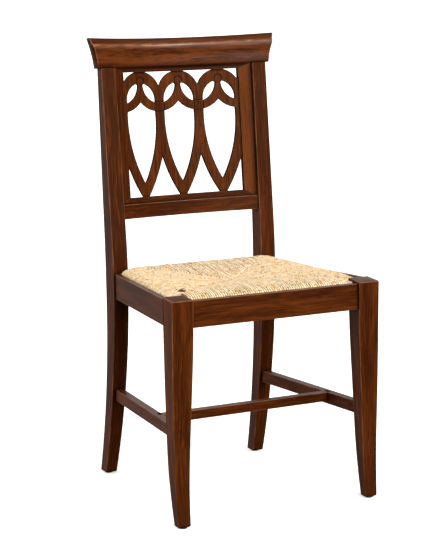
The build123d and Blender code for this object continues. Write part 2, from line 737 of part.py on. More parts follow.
def dowel(spot):
    """One dowel of the back."""
    at, way = spot
    turn = Rot(Y=90) if way == "across" else Rot()
    return Pos(*at) * turn * Cylinder(DOWEL_RADIUS, DOWEL_LENGTH)


def build():
    """Every node of the chair in its place."""
    leg = front_leg()
    post = rear_post()
    rails = {"front": front_rail(), "rear": rear_rail(), "side": side_rail()}
    joints = rail_tenons()

    front = TILT * rails["front"]
    rear = TILT * rails["rear"]
    side = TILT * rails["side"]
    legs = leg + twin(leg)
    posts = post + twin(post)
    front = front - legs
    rear = rear - posts
    side = (side - leg) - post
    tenon = {name: TILT * span_box(*limits) for name, limits in joints.items()}
    mortise = {name: TILT * span_box(*limits, MORTISE_CLEARANCE) for name, limits in joints.items()}
    front = front + tenon["front"] + twin(tenon["front"])
    rear = rear + tenon["rear"] + twin(tenon["rear"])
    side = side + tenon["side_leg"] + tenon["side_post"]

    z0 = STRETCHER_BOTTOM
    z1 = z0 + STRETCHER_HEIGHT
    y_leg, y_post = stretcher_reach(leg, post)
    stretcher = stretcher_beam(y_leg - 8, y_post + 8, STRETCHER_THICKNESS, z0, z1)
    stretcher = ease_length(stretcher, RAIL_BEVEL, 100) - leg - post
    t0 = z0 + STRETCHER_TENON_SHOULDER
    t1 = z1 - STRETCHER_TENON_SHOULDER
    reach = STRETCHER_TENON_LENGTH
    grip = STRETCHER_TENON
    c = MORTISE_CLEARANCE
    for a, b in ((y_leg - reach, y_leg + 4), (y_post - 4, y_post + reach)):
        stretcher = stretcher + stretcher_beam(a, b, grip, t0, t1)
        pocket = stretcher_beam(a - c, b + c, grip + 2 * c, t0 - c, t1 + c)
        leg = leg - pocket
        post = post - pocket

    y_cross = FRONT + CROSS_SETBACK
    cross_mid = y_cross + STRETCHER_THICKNESS / 2
    end = stretcher_axis(cross_mid)
    cross_z = (z1 - CROSS_HEIGHT, z1)
    cross = span_box((-end, end), (y_cross, y_cross + STRETCHER_THICKNESS), cross_z)
    cross = ease_length(cross, RAIL_BEVEL, 100) - stretcher - twin(stretcher)
    cross = max(cross.solids(), key=lambda piece: piece.volume)
    face = end - STRETCHER_THICKNESS / 2
    peg = (
        (face - 4, face + CROSS_TENON_LENGTH),
        (cross_mid - grip / 2, cross_mid + grip / 2),
        (cross_z[0] + STRETCHER_TENON_SHOULDER, cross_z[1] - STRETCHER_TENON_SHOULDER),
    )
    cross = cross + span_box(*peg) + twin(span_box(*peg))
    stretcher = stretcher - span_box(*peg, c)

    leg = leg - mortise["front"] - mortise["side_leg"]
    post = post - mortise["side_post"] - mortise["rear"]

    foot_x = HALF_FRONT - LEG_OUTER_TAPER - LEG_WIDTH_FOOT / 2
    foot_y = FRONT + LEG_TOE_SETBACK + LEG_DEPTH_FOOT / 2
    heel_x = HALF_BACK - POST_WIDTH_FOOT / 2
    heel_y = FRONT + OVERALL_DEPTH - POST_DEPTH_FOOT / 2
    leg = leg - Pos(foot_x, foot_y, 0) * glide_nail_hole()
    post = post - Pos(heel_x, heel_y, 0) * glide_nail_hole()

    top = crest()
    low = lower_back_rail()
    dowels = [dowel(spot) for spot in dowel_spots()]
    across = TENON_THICKNESS
    mid_x = HALF_BACK - POST_WIDTH_TOP / 2
    mid_n = 0.55 * POST_DEPTH_TOP
    top_peg = (
        (mid_x - across, mid_x + across),
        (mid_n - across / 2, mid_n + across / 2),
        (CREST_START - 4, CREST_START + CREST_TENON_LENGTH),
    )
    post = post + BACK * span_box(*top_peg)
    top = top - span_box(*top_peg, c) - twin(span_box(*top_peg, c))
    bare = BACK.inverse() * (rear_post())
    bare_posts = bare + twin(bare)
    low = low - bare_posts
    low_n = LOWER_RAIL_SETBACK + LOWER_RAIL_THICKNESS / 2
    low_peg = (
        (POST_INNER - 4, POST_INNER + TENON_LENGTH),
        (low_n - 4, low_n + 4),
        (LOWER_RAIL_START + 5, FRET_START - 5),
    )
    low = low + span_box(*low_peg) + twin(span_box(*low_peg))
    post = post - BACK * span_box(*low_peg, c)
    members = {side_name: fret_member(side_name) - bare_posts for side_name in ("left", "right", "bottom", "top")}
    panel = fretwork_panel()
    for peg_dowel in dowels:
        low = low - peg_dowel
        top = top - peg_dowel
        members = {key: value - peg_dowel for key, value in members.items()}
        post = post - BACK * peg_dowel

    rail_y = FRONT + FRONT_RAIL_SETBACK + RAIL_THICKNESS
    cleat_half = side_rail_outer(POST_FRONT) - RAIL_ACROSS
    cleat = span_box(
        (-cleat_half, cleat_half), (POST_FRONT - CLEAT_DEPTH, POST_FRONT), (LEDGE - CLEAT_HEIGHT, LEDGE)
    )
    cleat = (TILT * cleat) - posts - rear - side - twin(side)
    front_corner = (side_rail_outer(rail_y) - RAIL_ACROSS, rail_y)
    rear_y = POST_FRONT - CLEAT_DEPTH
    rear_corner = (side_rail_outer(rear_y) - RAIL_ACROSS, rear_y)
    blocks = {}
    screws = []
    for name, corner, s_y, solid in (("front", front_corner, 1, leg), ("rear", rear_corner, -1, post)):
        reach_in = math.radians(45)
        cut = BLOCK_LEG / math.sqrt(2)
        block = corner_block(corner, s_y)
        keep = span_box((-cut, cut), (-300, 300), (-300, 300))
        centre = (corner[0], corner[1], LEDGE - BLOCK_HEIGHT / 2)
        turned = Pos(*centre) * Rot(Z=-45 * s_y) * keep
        block = TILT * (block & turned)
        block = block - side - front - cleat - rear
        block = block - (legs if name == "front" else posts)
        block = max(block.solids(), key=lambda piece: piece.volume)
        way = 45 * -s_y
        start = (centre[0] - cut * math.cos(reach_in), centre[1] + s_y * cut * math.sin(reach_in), centre[2])
        place = TILT * Pos(*start) * Rot(Z=way)
        screws.append(place * screw())
        hole = place * screw_shank(SCREW_CLEARANCE)
        block = block - hole
        if name == "front":
            leg = leg - hole
            front = front - hole - twin(hole)
        else:
            post = post - hole
            cleat = cleat - hole - twin(hole)
            rear = rear - hole - twin(hole)
        side = side - hole
        blocks[name] = block

    rush = rush_seat()
    bars = seat_bars()
    for bar in bars.values():
        rush = rush - bar
    rush = max(rush.solids(), key=lambda piece: piece.volume)

    nodes = {
        "front_leg_right": leg,
        "front_leg_left": twin(leg),
        "rear_post_right": post,
        "rear_post_left": twin(post),
        "seat_rail_front": front,
        "seat_rail_rear": rear,
        "seat_rail_right": side,
        "seat_rail_left": twin(side),
        "seat_cleat_rear": cleat,
        "stretcher_right": stretcher,
        "stretcher_left": twin(stretcher),
        "stretcher_cross": cross,
        "crest_rail": BACK * top,
        "lower_back_rail": BACK * low,
        "fretwork_panel": BACK * panel,
        "rush_weave": TILT * rush,
        "corner_screws": Compound(children=[s for one in screws for s in (one.solid(), twin(one).solid())]),
        "back_dowels": Compound(children=[(BACK * d).solid() for d in dowels]),
    }
    for side_name, member in members.items():
        nodes["fret_frame_" + side_name] = BACK * member
    for name, bar in bars.items():
        nodes[name] = TILT * bar
    for name, block in blocks.items():
        nodes["corner_block_" + name + "_right"] = block
        nodes["corner_block_" + name + "_left"] = twin(block)
    for name, x, y in (("front", foot_x, foot_y), ("rear", heel_x, heel_y)):
        nodes["glide_" + name + "_right"] = Pos(x, y, 0) * glide()
        nodes["glide_" + name + "_left"] = Pos(-x, y, 0) * glide()
    return nodes


def main():
    os.makedirs("parts", exist_ok=True)
    for name, shape in build().items():
        export_step(shape, "parts/" + name + ".step")


if __name__ == "__main__":
    main()
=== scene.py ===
import math

import bpy
import numpy as np
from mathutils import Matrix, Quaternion, Vector


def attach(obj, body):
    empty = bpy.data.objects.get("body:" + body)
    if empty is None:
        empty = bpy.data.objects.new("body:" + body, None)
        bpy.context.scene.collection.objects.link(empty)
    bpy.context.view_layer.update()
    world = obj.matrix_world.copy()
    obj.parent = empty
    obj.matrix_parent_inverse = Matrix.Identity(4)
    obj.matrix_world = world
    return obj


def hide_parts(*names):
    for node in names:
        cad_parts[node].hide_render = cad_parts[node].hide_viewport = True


bl_info = {
    "name": "Rush seat chair",
    "version": (1, 0, 0),
    "blender": (4, 5, 0),
    "location": "3D View > Sidebar > Chair",
    "description": "Dresses the packed dining chair: stained timber, fretwork back and woven rush seat",
    "category": "Object",
}

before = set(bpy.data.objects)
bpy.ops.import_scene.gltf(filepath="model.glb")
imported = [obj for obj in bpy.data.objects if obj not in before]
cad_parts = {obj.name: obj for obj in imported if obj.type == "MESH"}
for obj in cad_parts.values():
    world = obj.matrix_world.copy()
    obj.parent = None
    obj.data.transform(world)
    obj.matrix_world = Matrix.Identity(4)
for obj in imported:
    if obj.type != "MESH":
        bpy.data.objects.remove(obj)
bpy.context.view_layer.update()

# Sizes are in millimetres here, in the frame of the solids. Meshes are made in metres.
MM = 0.001

# Plan and heights
FRONT = -239.0
HALF_FRONT = 236.5
HALF_BACK = 198.0
SEAT_HEIGHT = 462.5
SEAT_SLOPE = math.radians(0.35)
RECLINE = math.radians(5.17)
FOOT = 2.5
FOOT_ROUND = 4.0
# Height over which the front legs darken towards the floor
FOOT_DARKENING = 170.0

# Front legs
LEG_INNER = 189.5
LEG_REAR = -193.5
LEG_ANKLE = 157.5
LEG_ANKLE_SETBACK = 7.2
LEG_ANKLE_DEPTH = 33.2
LEG_TOE_SETBACK = 1.5
LEG_FOOT_DEPTH = 19.5
LEG_FOOT_WIDTH = 28.0
LEG_OUTER_TAPER = 5.2
LEG_TOP_RISE = 3.5
LEG_CROWN = 1.0
LEG_TOP_ROUND = 1.6
LEG_TOP_DARKENING = 0.6
LEG_KNEE_SHARE = 0.8

# Rear posts
POST_FRONT = 138.0
POST_DEPTH = 42.5
POST_KNEE = 452.5
POST_BLEND = 95.0
POST_CALF = 402.5
POST_TOP_DEPTH = 23.0
POST_FOOT_DEPTH = 29.5
POST_FOOT_WIDTH = 26.5
POST_INNER = 162.5
POST_TOP_INNER = 165.0
BACK_ORIGIN_Y = POST_FRONT - math.tan(RECLINE) * POST_BLEND / 2

# Seat rails before the seat slope
RAIL_TOP = 463.5
RAIL_HEIGHT = 54.5
RAIL_THICKNESS = 24.0
FRONT_RAIL_SETBACK = 6.4
FRONT_RAIL_DROP = 4.0
SIDE_RAIL_INSET = 4.0
SIDE_LIP = 11.0
FRONT_LIP = 13.0
LEDGE = 443.5
RAIL_TONGUE = 4.0
RAIL_INNER_ROUNDS = (0.3, 0.4, 0.8)

# Stretchers
STRETCHER_LOW = 176.5
STRETCHER_HIGH = 202.5
STRETCHER_THICKNESS = 18.0
STRETCHER_FRONT_INSET = 24.5
STRETCHER_REAR_INSET = 15.0
CROSS_SETBACK = 142.0
CROSS_HEIGHT = 20.0
STRETCHER_LEG_TENON = 18.0
STRETCHER_POST_TENON = 22.0

# Back, measured up the recline from the knee of the posts
LOWER_RAIL_LOW = 124.0
LOWER_RAIL_HIGH = 155.0
LOWER_RAIL_THICKNESS = 19.0
LOWER_RAIL_SETBACK = 5.5
BACK_BOW = 530.0
HOOP_PITCH = 283.0 / 3
EYELET_LEVEL = 418.7
EYELET_RADIUS = 9.0
BOSS_LEVEL = 363.5
BOSS_HALF = 10.5
CREST_LOW = 449.0
CREST_HEIGHT = 65.0
CREST_THICKNESS = 25.5
CREST_BOW = 600.0
CREST_OVERHANG = 7.0
CREST_FLARE = 16.5
CREST_PROUD = 3.0
CREST_JOINT = 0.3
CREST_HOLLOW = 2.5
CREST_FOOT_ROUND = 2.6

# Ends, wear, darkening and painted light of the crest: places along it run from -1 to 1, columns go up its
# front.
# Its nose is lightened as wear and as a painted highlight, its top slope is darkened as painted shade,
# it darkens towards its lower edge, and its end grain takes more stain
CREST_FLAT = 0.987
CREST_RIM = 0.996
CREST_END_ROUND = 1.2
CREST_END_DRAW = (18.0, 30.0)
CREST_RIM_WEAR = 2.2
CREST_NOSE_COLUMN = 17
CREST_NOSE_WEAR_AND_HIGHLIGHT = (0.2, 0.4, 0.7, 1.1, 1.5, 1.8, 1.9, 1.7, 1.2, 0.4)
CREST_TOP_WEAR = 0.5
CREST_FOOT_DARKENING = 0.25
CREST_SLOPE_COLUMNS = 8
CREST_SLOPE_SHADE = 0.8

# Loose seat
SEAT_GAP = 1.0
RUSH_LOW = LEDGE + 0.3
RUSH_EDGE = 26.0
RUSH_ROLL = 34.0
RUSH_CENTRE = 15.0
RUSH_LIFT = math.radians(1.8)
CORNER_FALL = (15.0, 22.0, 11.0, 11.0)
CORNER_REACH = (80.0, 118.0, 55.0, 55.0)
HOLLOW = (-181.0, -163.0)
HOLLOW_SIZE = (8.0, 15.0)
HOLLOW_DIP = 1.5
UNDER_ROUND = 3.0

# Stuffing: reach of the seat, least height, points of its outline, then shares of a cord's radius
STUFFING_REACH = 180.0
STUFFING_LEAST = 6.0
OUTLINE_STEPS = 260
STUFFING_INSET = 1.2
STUFFING_SINK = 2.0
STUFFING_FLOOR = 1.3

# Cords: points of each part of a lobe's section, then the points at its waist and underside
SECTION_STEPS = 80
WAIST_AT = 2 * (SECTION_STEPS - 1)
UNDER_AT = WAIST_AT + SECTION_STEPS - 2
CORD_ROOM = 2.2
CORD_MARGIN = 3.0
SWAY_WAVES = (31.0, 17.0, 9.0)
BOB_WAVES = (23.0, 13.0, 7.0)
# Painted shade in the creases where the cords dive at the diagonals: reach, then least and spread of the
# darkening
CORD_CREASE_SHADE_REACH = 14.0
CORD_CREASE_SHADE = (0.15, 0.2)
CORD_RINGS = (13, 8, 4)
ROLL_STEP = 20
DIAGONAL_GAP = 0.4
LEAST_REACH = 2.0
LEAST_TAIL = 1.0
HELD_DEPTH = 12.0
HELD_LEAST = 0.25
SHIFT_SPREAD = 0.3
RISE_SPREAD = 0.2
THICK_SPREAD = 0.07
CORD_WIDTH = 0.465
START_DIVE = (1.8, 2.5)
END_DIVE = (1.6, 3.0)
SLACK_ROUTE = ((-200, -176), (-192, -168), (-174, -155), (-153, -141))
SLACK_RISE = 4.0
SLACK_SINK = 1.0
SLACK_SHARE = 0.8
SLACK_LENGTH = 0.06
SLACK_TINT = 0.4

# Lobes of the seat: spacing of the cords as a share of the set spacing, and how much they waver
LOBE_WEAVE = {"front": (1.12, 0.5), "right": (1.0, 0.9), "back": (1.05, 0.8), "left": (1.0, 0.9)}

# Camera of the photograph
CAMERA_PLACE = (-1638.5, -3251.1, 1065.7)
CAMERA_AIM = (-42.42, -39.0, 460.2)
CAMERA_LENS = 111.6
CAMERA_ROLL = math.radians(-0.98)

# Floor and sight of the camera, in metres
FLOOR_REACH = 600.0
CAMERA_CLIP = 2000.0

# Soft panels of the studio: azimuth, elevation, full and faded half angle in degrees, brightness
ROOM_LIGHT = 0.35
FLOOR_LIGHT = 0.15
HORIZON = (-0.03, 0.12)
PANELS = (
    (5, 35, 14, 40, 3.6),
    (-100, 14, 12, 40, 2.6),
    (36, 36, 5, 13, 15.0),
    (-4, 12, 5, 10, 5.0),
    (31, 15, 6, 11, 2.6),
    (-154, -8, 12, 30, 0.28),
    (153, 12, 10, 30, 0.62),
    (-150, 35, 15, 45, 1.0),
)

# Timber pattern along and across the grain, in repeats per metre
SWAY_GRAIN = (6, 18, 18)
BLOTCH_GRAIN = (5, 42, 42)
STREAK_GRAIN = (7, 200, 200)
FINE_GRAIN = (26, 560, 560)
PORE_GRAIN = (38, 1500, 1500)
RUB_GRAIN = (22, 60, 60)
GRAIN_ROOM = 3.0

# Finish of the timber: reach of worn edges, and of the nooks and creases that get painted shade, in metres,
# then shares
FRET_BEVEL = 0.0006
FRAME_BEVEL = 0.0012
NOOK_SHADE_REACH = 0.012
CREASE_SHADE_DEPTH = 0.004
EVEN_STAIN = 0.275
BODY_MIDDLE = 0.51
BODY_SPREAD = 0.2
EDGE_COAT = 0.3
LACQUER_TINT = (1, 0.65, 0.42, 1)

# Rush: length of one twist in metres, repeats of the leaves per metre and steps between cords
TWIST_LENGTH = 0.0075
LEAF_RATE = 60
TINT_STEP = 97

# Fixed colours of the small fittings and of the floor's mottle, as linear values, and the floor's glow
GLIDE_BROWN = ((0.022, 0.014, 0.009), (0.06, 0.045, 0.034))
ZINC = ((0.42, 0.41, 0.38), (0.66, 0.66, 0.68))
FLOOR_MOTTLE = (0.88, 0.88, 0.87)
FLOOR_GLOW = 0.35

# Rounded bars: steps of a corner, guard beside a square end, largest shares of a side, cap
ARC_STEPS = 4
END_GUARD = 0.4
MOST_ROUND = 0.3
MOST_STRIP = 0.48
CAP_RING = 0.8
CAP_RISE = 0.6
CORD_SIDES = 6
SEED = 7


# Curves


def bezier(points, t):
    """Bezier curve: repeated mixing of neighbouring control points by t and 1 - t."""
    t = np.asarray(t, float)[:, None]
    rows = [np.broadcast_to(np.asarray(p, float), (len(t), len(p))) for p in points]
    while len(rows) > 1:
        rows = [(1 - t) * a + t * b for a, b in zip(rows, rows[1:])]
    return rows[0]


def height_curve(level, *pieces):
    """Offset at each height: Bezier pieces of (offset, height) points, read off by height."""
    t = np.linspace(0, 1, 60)
    line = np.concatenate([bezier(piece, t) for piece in pieces])
    order = np.argsort(line[:, 1], kind="stable")
    return np.interp(level, line[order, 1], line[order, 0])


def unit(vectors):
    """Vectors divided by their lengths."""
    return vectors / np.maximum(np.linalg.norm(vectors, axis=-1, keepdims=True), 1e-9)


def seat_tilt(points):
    """Turns points about the front seat line by the fall of the seat to the rear."""
    y = points[..., 1] - FRONT
    z = points[..., 2] - SEAT_HEIGHT
    c, s = math.cos(SEAT_SLOPE), math.sin(SEAT_SLOPE)
    return np.stack([points[..., 0], FRONT + c * y + s * z, SEAT_HEIGHT - s * y + c * z], axis=-1)


def back_lean(points):
    """Places (x, behind the front plane, up the back) points on the reclined back."""
    n, w = points[..., 1], points[..., 2]
    c, s = math.cos(RECLINE), math.sin(RECLINE)
    return np.stack([points[..., 0], BACK_ORIGIN_Y + c * n + s * w, POST_KNEE - s * n + c * w], axis=-1)


def rail_outer(y):
    """Outer face of a side rail at a depth: a straight line from leg to post."""
    share = (y - LEG_REAR) / (POST_FRONT - LEG_REAR)
    return HALF_FRONT + share * (HALF_BACK - SIDE_RAIL_INSET - HALF_FRONT)


RAIL_LEAN = math.atan2(rail_outer(LEG_REAR) - rail_outer(POST_FRONT), POST_FRONT - LEG_REAR)


# Surfaces


def grid_faces(rows, columns, wrap):
    """Quads of a grid of points, closed across its columns where it wraps."""
    index = np.arange(rows * columns).reshape(rows, columns)
    if wrap:
        index = np.concatenate([index, index[:, :1]], axis=1)
    quads = np.stack([index[:-1, :-1], index[:-1, 1:], index[1:, 1:], index[1:, :-1]], axis=-1)
    return quads.reshape(-1, 4)


def rounded_end(lines, radius, wear):
    """Corner lines whose first station becomes a quarter round: the section slides in as it grows."""
    tip = lines[:, 0]
    way = unit(lines[:, 1] - tip)
    inward = unit(np.roll(tip, 1, axis=0) - tip) + unit(np.roll(tip, -1, axis=0) - tip)
    turn = np.linspace(0, math.pi / 2, ARC_STEPS)
    inset = radius * (1 - np.sin(turn))[None, :, None]
    slide = radius * (1 - np.cos(turn))[None, :, None]
    rows = tip[:, None] + inset * inward[:, None] + slide * way[:, None]
    flat = tip + (radius + wear) * way
    return np.concatenate([rows, flat[:, None], lines[:, 1:]], axis=1)


def square_end(lines):
    """Corner lines with a station close to the first, so that smooth shading keeps the end square."""
    near = lines[:, 0] + END_GUARD * unit(lines[:, 1] - lines[:, 0])
    return np.concatenate([lines[:, :1], near[:, None], lines[:, 1:]], axis=1)


def lofted(lines, rounding, ends=(0.0, 0.0), wear=0.5, crown=0.0):
    """Bar drawn through its corner lines (corner, station, xyz).

    Each corner is a quarter round: corner + r (1 - sin a) towards the corner before it
    + r (1 - cos a) towards the one after it, for a from 0 to 90 degrees. A flat point on each
    side of it ends the worn strip. The rings are joined along the stations, and each end is
    closed by a cap that may swell by a crown. Returns points, faces and the attributes.
    """
    lines = np.asarray(lines, float)
    first = rounded_end(lines, ends[0], wear) if ends[0] else square_end(lines)
    back = first[:, ::-1]
    lines = (rounded_end(back, ends[1], wear) if ends[1] else square_end(back))[:, ::-1]
    worn = np.zeros(lines.shape[1])
    if ends[1]:
        worn[-ARC_STEPS:] = 1
    before = np.roll(lines, 1, axis=0) - lines
    after = np.roll(lines, -1, axis=0) - lines
    room = np.minimum(np.linalg.norm(before, axis=-1), np.linalg.norm(after, axis=-1))[..., None]
    radius = np.minimum(np.reshape(np.broadcast_to(rounding, len(lines)), (-1, 1, 1)), MOST_ROUND * room)
    strip = np.minimum(radius + wear, MOST_STRIP * room)
    turn = np.linspace(0, math.pi / 2, ARC_STEPS)
    before, after = unit(before), unit(after)
    rows = [lines + strip * before]
    rows += [lines + radius * ((1 - math.sin(a)) * before + (1 - math.cos(a)) * after) for a in turn]
    rows += [lines + strip * after]
    ring = np.stack(rows, axis=1).reshape(-1, *lines.shape[1:]).transpose(1, 0, 2)
    stations, around = ring.shape[:2]
    edge = np.tile([0] + [1] * ARC_STEPS + [0], len(lines))
    edge = np.maximum(edge[None, :], worn[:, None])
    middle = ring.mean(axis=1, keepdims=True)
    step = np.linalg.norm(np.diff(middle[:, 0], axis=0), axis=-1)
    along = np.concatenate([[0], np.cumsum(step)])
    across = unit(lines[1] - lines[0])[:, None]
    deep = unit(lines[-1] - lines[0])[:, None]
    reach = ring - middle
    along = np.broadcast_to(along[:, None], (stations, around))
    grain = np.stack([along, (reach * across).sum(-1), (reach * deep).sum(-1)], axis=-1)
    points = [ring.reshape(-1, 3)]
    grains = [grain.reshape(-1, 3)]
    edges = [edge.reshape(-1)]
    faces = grid_faces(stations, around, True).tolist()
    count = stations * around
    for row, other in ((0, 1), (stations - 1, stations - 2)):
        swell = unit(middle[row, 0] - middle[other, 0]) * crown
        inner = middle[row] + CAP_RING * reach[row] + CAP_RISE * swell
        points += [inner, middle[row] + swell]
        grains += [grain[row], grain[row].mean(axis=0, keepdims=True)]
        edges += [np.zeros(around), np.zeros(1)]
        rim = np.arange(around) + row * around
        ring_in = np.arange(around) + count
        turn_rim, turn_in = np.roll(rim, -1), np.roll(ring_in, -1)
        quads = np.stack([rim, ring_in, turn_in, turn_rim], axis=-1)
        fan = np.stack([ring_in, np.full(around, count + around), turn_in], axis=-1)
        if row:
            quads, fan = quads[:, ::-1], fan[:, ::-1]
        faces += quads.tolist() + fan.tolist()
        count += around + 1
    return np.concatenate(points), faces, {"grain": np.concatenate(grains), "edge": np.concatenate(edges)}


def outward(points, faces):
    """Faces turned so that they point out: a closed shell turned inside out has a negative volume."""
    halves = [face[:3] for face in faces]
    halves += [[face[0], face[2], face[3]] for face in faces if len(face) == 4]
    corners = np.array(halves)
    a, b, c = (points[corners[:, i]] for i in range(3))
    volume = np.einsum("ij,ij->i", a, np.cross(b, c)).sum()
    return faces if volume > 0 else [face[::-1] for face in faces]


def add_piece(name, shape, body, material):
    """Puts a shape of points, faces and point attributes into a smooth mesh that rides on a body."""
    points, faces, attributes = shape
    mesh = bpy.data.meshes.new(name)
    mesh.from_pydata((points * MM).tolist(), [], outward(points, faces))
    mesh.polygons.foreach_set("use_smooth", np.ones(len(mesh.polygons), bool))
    for key, values in attributes.items():
        kind, field = ("FLOAT_VECTOR", "vector") if values.ndim == 2 else ("FLOAT", "value")
        layer = mesh.attributes.new(key, kind, "POINT")
        layer.data.foreach_set(field, values.astype(np.float32).ravel())
    mesh.materials.append(material)
    mesh.update()
    piece = bpy.data.objects.new(name, mesh)
    bpy.context.scene.collection.objects.link(piece)
    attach(piece, body)
    return piece


def timber(name, shape, material, *nodes):
    """A timber piece of the frame, with grain of its own, that stands for its solids."""
    points, faces, attributes = shape
    shift = np.random.default_rng(sum(name.encode()) + SEED).uniform(0, GRAIN_ROOM, 3)
    attributes["grain"] = attributes["grain"] * MM + shift
    piece = add_piece(name, (points, faces, attributes), "chair_frame", material)
    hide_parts(*nodes)
    return piece


def finish_nodes(material, *names):
    """Gives the CAD nodes of these names a material."""
    for name in names:
        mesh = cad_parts[name].data
        mesh.materials.clear()
        mesh.materials.append(material)


# Materials


class Wire:
    """A socket of a finish. Arithmetic on it adds Math nodes."""

    def __init__(self, finish, socket):
        self.finish = finish
        self.socket = socket

    def math(self, operation, *others):
        """A Math node whose first value is this socket."""
        return self.finish.node("ShaderNodeMath", {"operation": operation}, dict(enumerate((self, *others))))

    def __add__(self, other):
        return self.math("ADD", other)

    def __sub__(self, other):
        return self.math("SUBTRACT", other)

    def __rsub__(self, other):
        return self.finish.node("ShaderNodeMath", {"operation": "SUBTRACT"}, {0: other, 1: self})

    def __mul__(self, other):
        return self.math("MULTIPLY", other)

    def __pow__(self, other):
        return self.math("POWER", other)

    __radd__ = __add__
    __rmul__ = __mul__

    def between(self, low, high):
        """0 below low, 1 above high and a smooth step between."""
        sockets = {"Value": self, "From Min": low, "From Max": high}
        return self.finish.node("ShaderNodeMapRange", {"interpolation_type": "SMOOTHSTEP"}, sockets)


class Finish:
    """The node tree of a new material or world."""

    def __init__(self, name, library="materials"):
        self.owner = getattr(bpy.data, library).new(name)
        self.owner.use_nodes = True
        self.tree = self.owner.node_tree
        self.tree.nodes.clear()

    def node(self, kind, settings=None, sockets=None, output=0):
        """Adds a node: settings first, then the values or links of its sockets. Returns an output."""
        node = self.tree.nodes.new(kind)
        for key, value in (settings or {}).items():
            setattr(node, key, value)
        for key, value in (sockets or {}).items():
            if isinstance(value, Wire):
                self.tree.links.new(value.socket, node.inputs[key])
            else:
                node.inputs[key].default_value = value
        return Wire(self, node.outputs[output])

    def place(self):
        """Object coordinates, in metres."""
        return self.node("ShaderNodeTexCoord", output="Object")

    def attribute(self, name, output):
        """An attribute of the piece's own mesh."""
        return self.node("ShaderNodeAttribute", {"attribute_name": name}, output=output)

    def turned(self, vector, turn):
        """A vector turned by Euler angles."""
        sockets = {"Vector": vector, "Rotation": turn}
        return self.node("ShaderNodeMapping", {"vector_type": "POINT"}, sockets)

    def stretched(self, vector, scale):
        """A vector multiplied part by part."""
        return self.node("ShaderNodeVectorMath", {"operation": "MULTIPLY"}, {0: vector, 1: scale})

    def moved(self, vector, shift):
        """A vector with another added."""
        return self.node("ShaderNodeVectorMath", {"operation": "ADD"}, {0: vector, 1: shift})

    def facing(self, vector, way):
        """How far a vector points along a way: their dot product."""
        settings = {"operation": "DOT_PRODUCT"}
        return self.node("ShaderNodeVectorMath", settings, {0: vector, 1: way}, "Value")

    def shut_in(self, distance):
        """How far a place is closed in by what lies within a distance, from 0 to 1."""
        sockets = {"Distance": distance}
        return 1 - self.node("ShaderNodeAmbientOcclusion", {"samples": 8}, sockets, "AO")

    def parts(self, vector):
        """The three parts of a vector."""
        split = self.node("ShaderNodeSeparateXYZ", sockets={0: vector})
        return [Wire(self, socket) for socket in split.socket.node.outputs]

    def noise(self, vector, scale=1.0, detail=4.0, roughness=0.55):
        """Noise from 0 to 1."""
        sockets = {"Vector": vector, "Scale": scale, "Detail": detail, "Roughness": roughness}
        return self.node("ShaderNodeTexNoise", sockets=sockets)

    def mix(self, share, a, b):
        """Colour a where the share is 0 and b where it is 1."""
        a = a if isinstance(a, Wire) else (*a[:3], 1)
        b = b if isinstance(b, Wire) else (*b[:3], 1)
        return self.node("ShaderNodeMix", {"data_type": "RGBA"}, {0: share, 6: a, 7: b}, 2)

    def bump(self, height, strength, distance):
        """Normal raised by a height."""
        sockets = {"Height": height, "Strength": strength, "Distance": distance}
        return self.node("ShaderNodeBump", sockets=sockets)

    def done(self, **sockets):
        """Ends a material with a Principled shader; names use spaces for underscores."""
        named = {key.replace("_", " "): value for key, value in sockets.items()}
        shader = self.node("ShaderNodeBsdfPrincipled", sockets=named)
        return self.end("ShaderNodeOutputMaterial", shader)

    def end(self, kind, shader):
        """Links a shader to the output and returns the material or world."""
        output = self.tree.nodes.new(kind)
        self.tree.links.new(shader.socket, output.inputs["Surface"])
        return self.owner


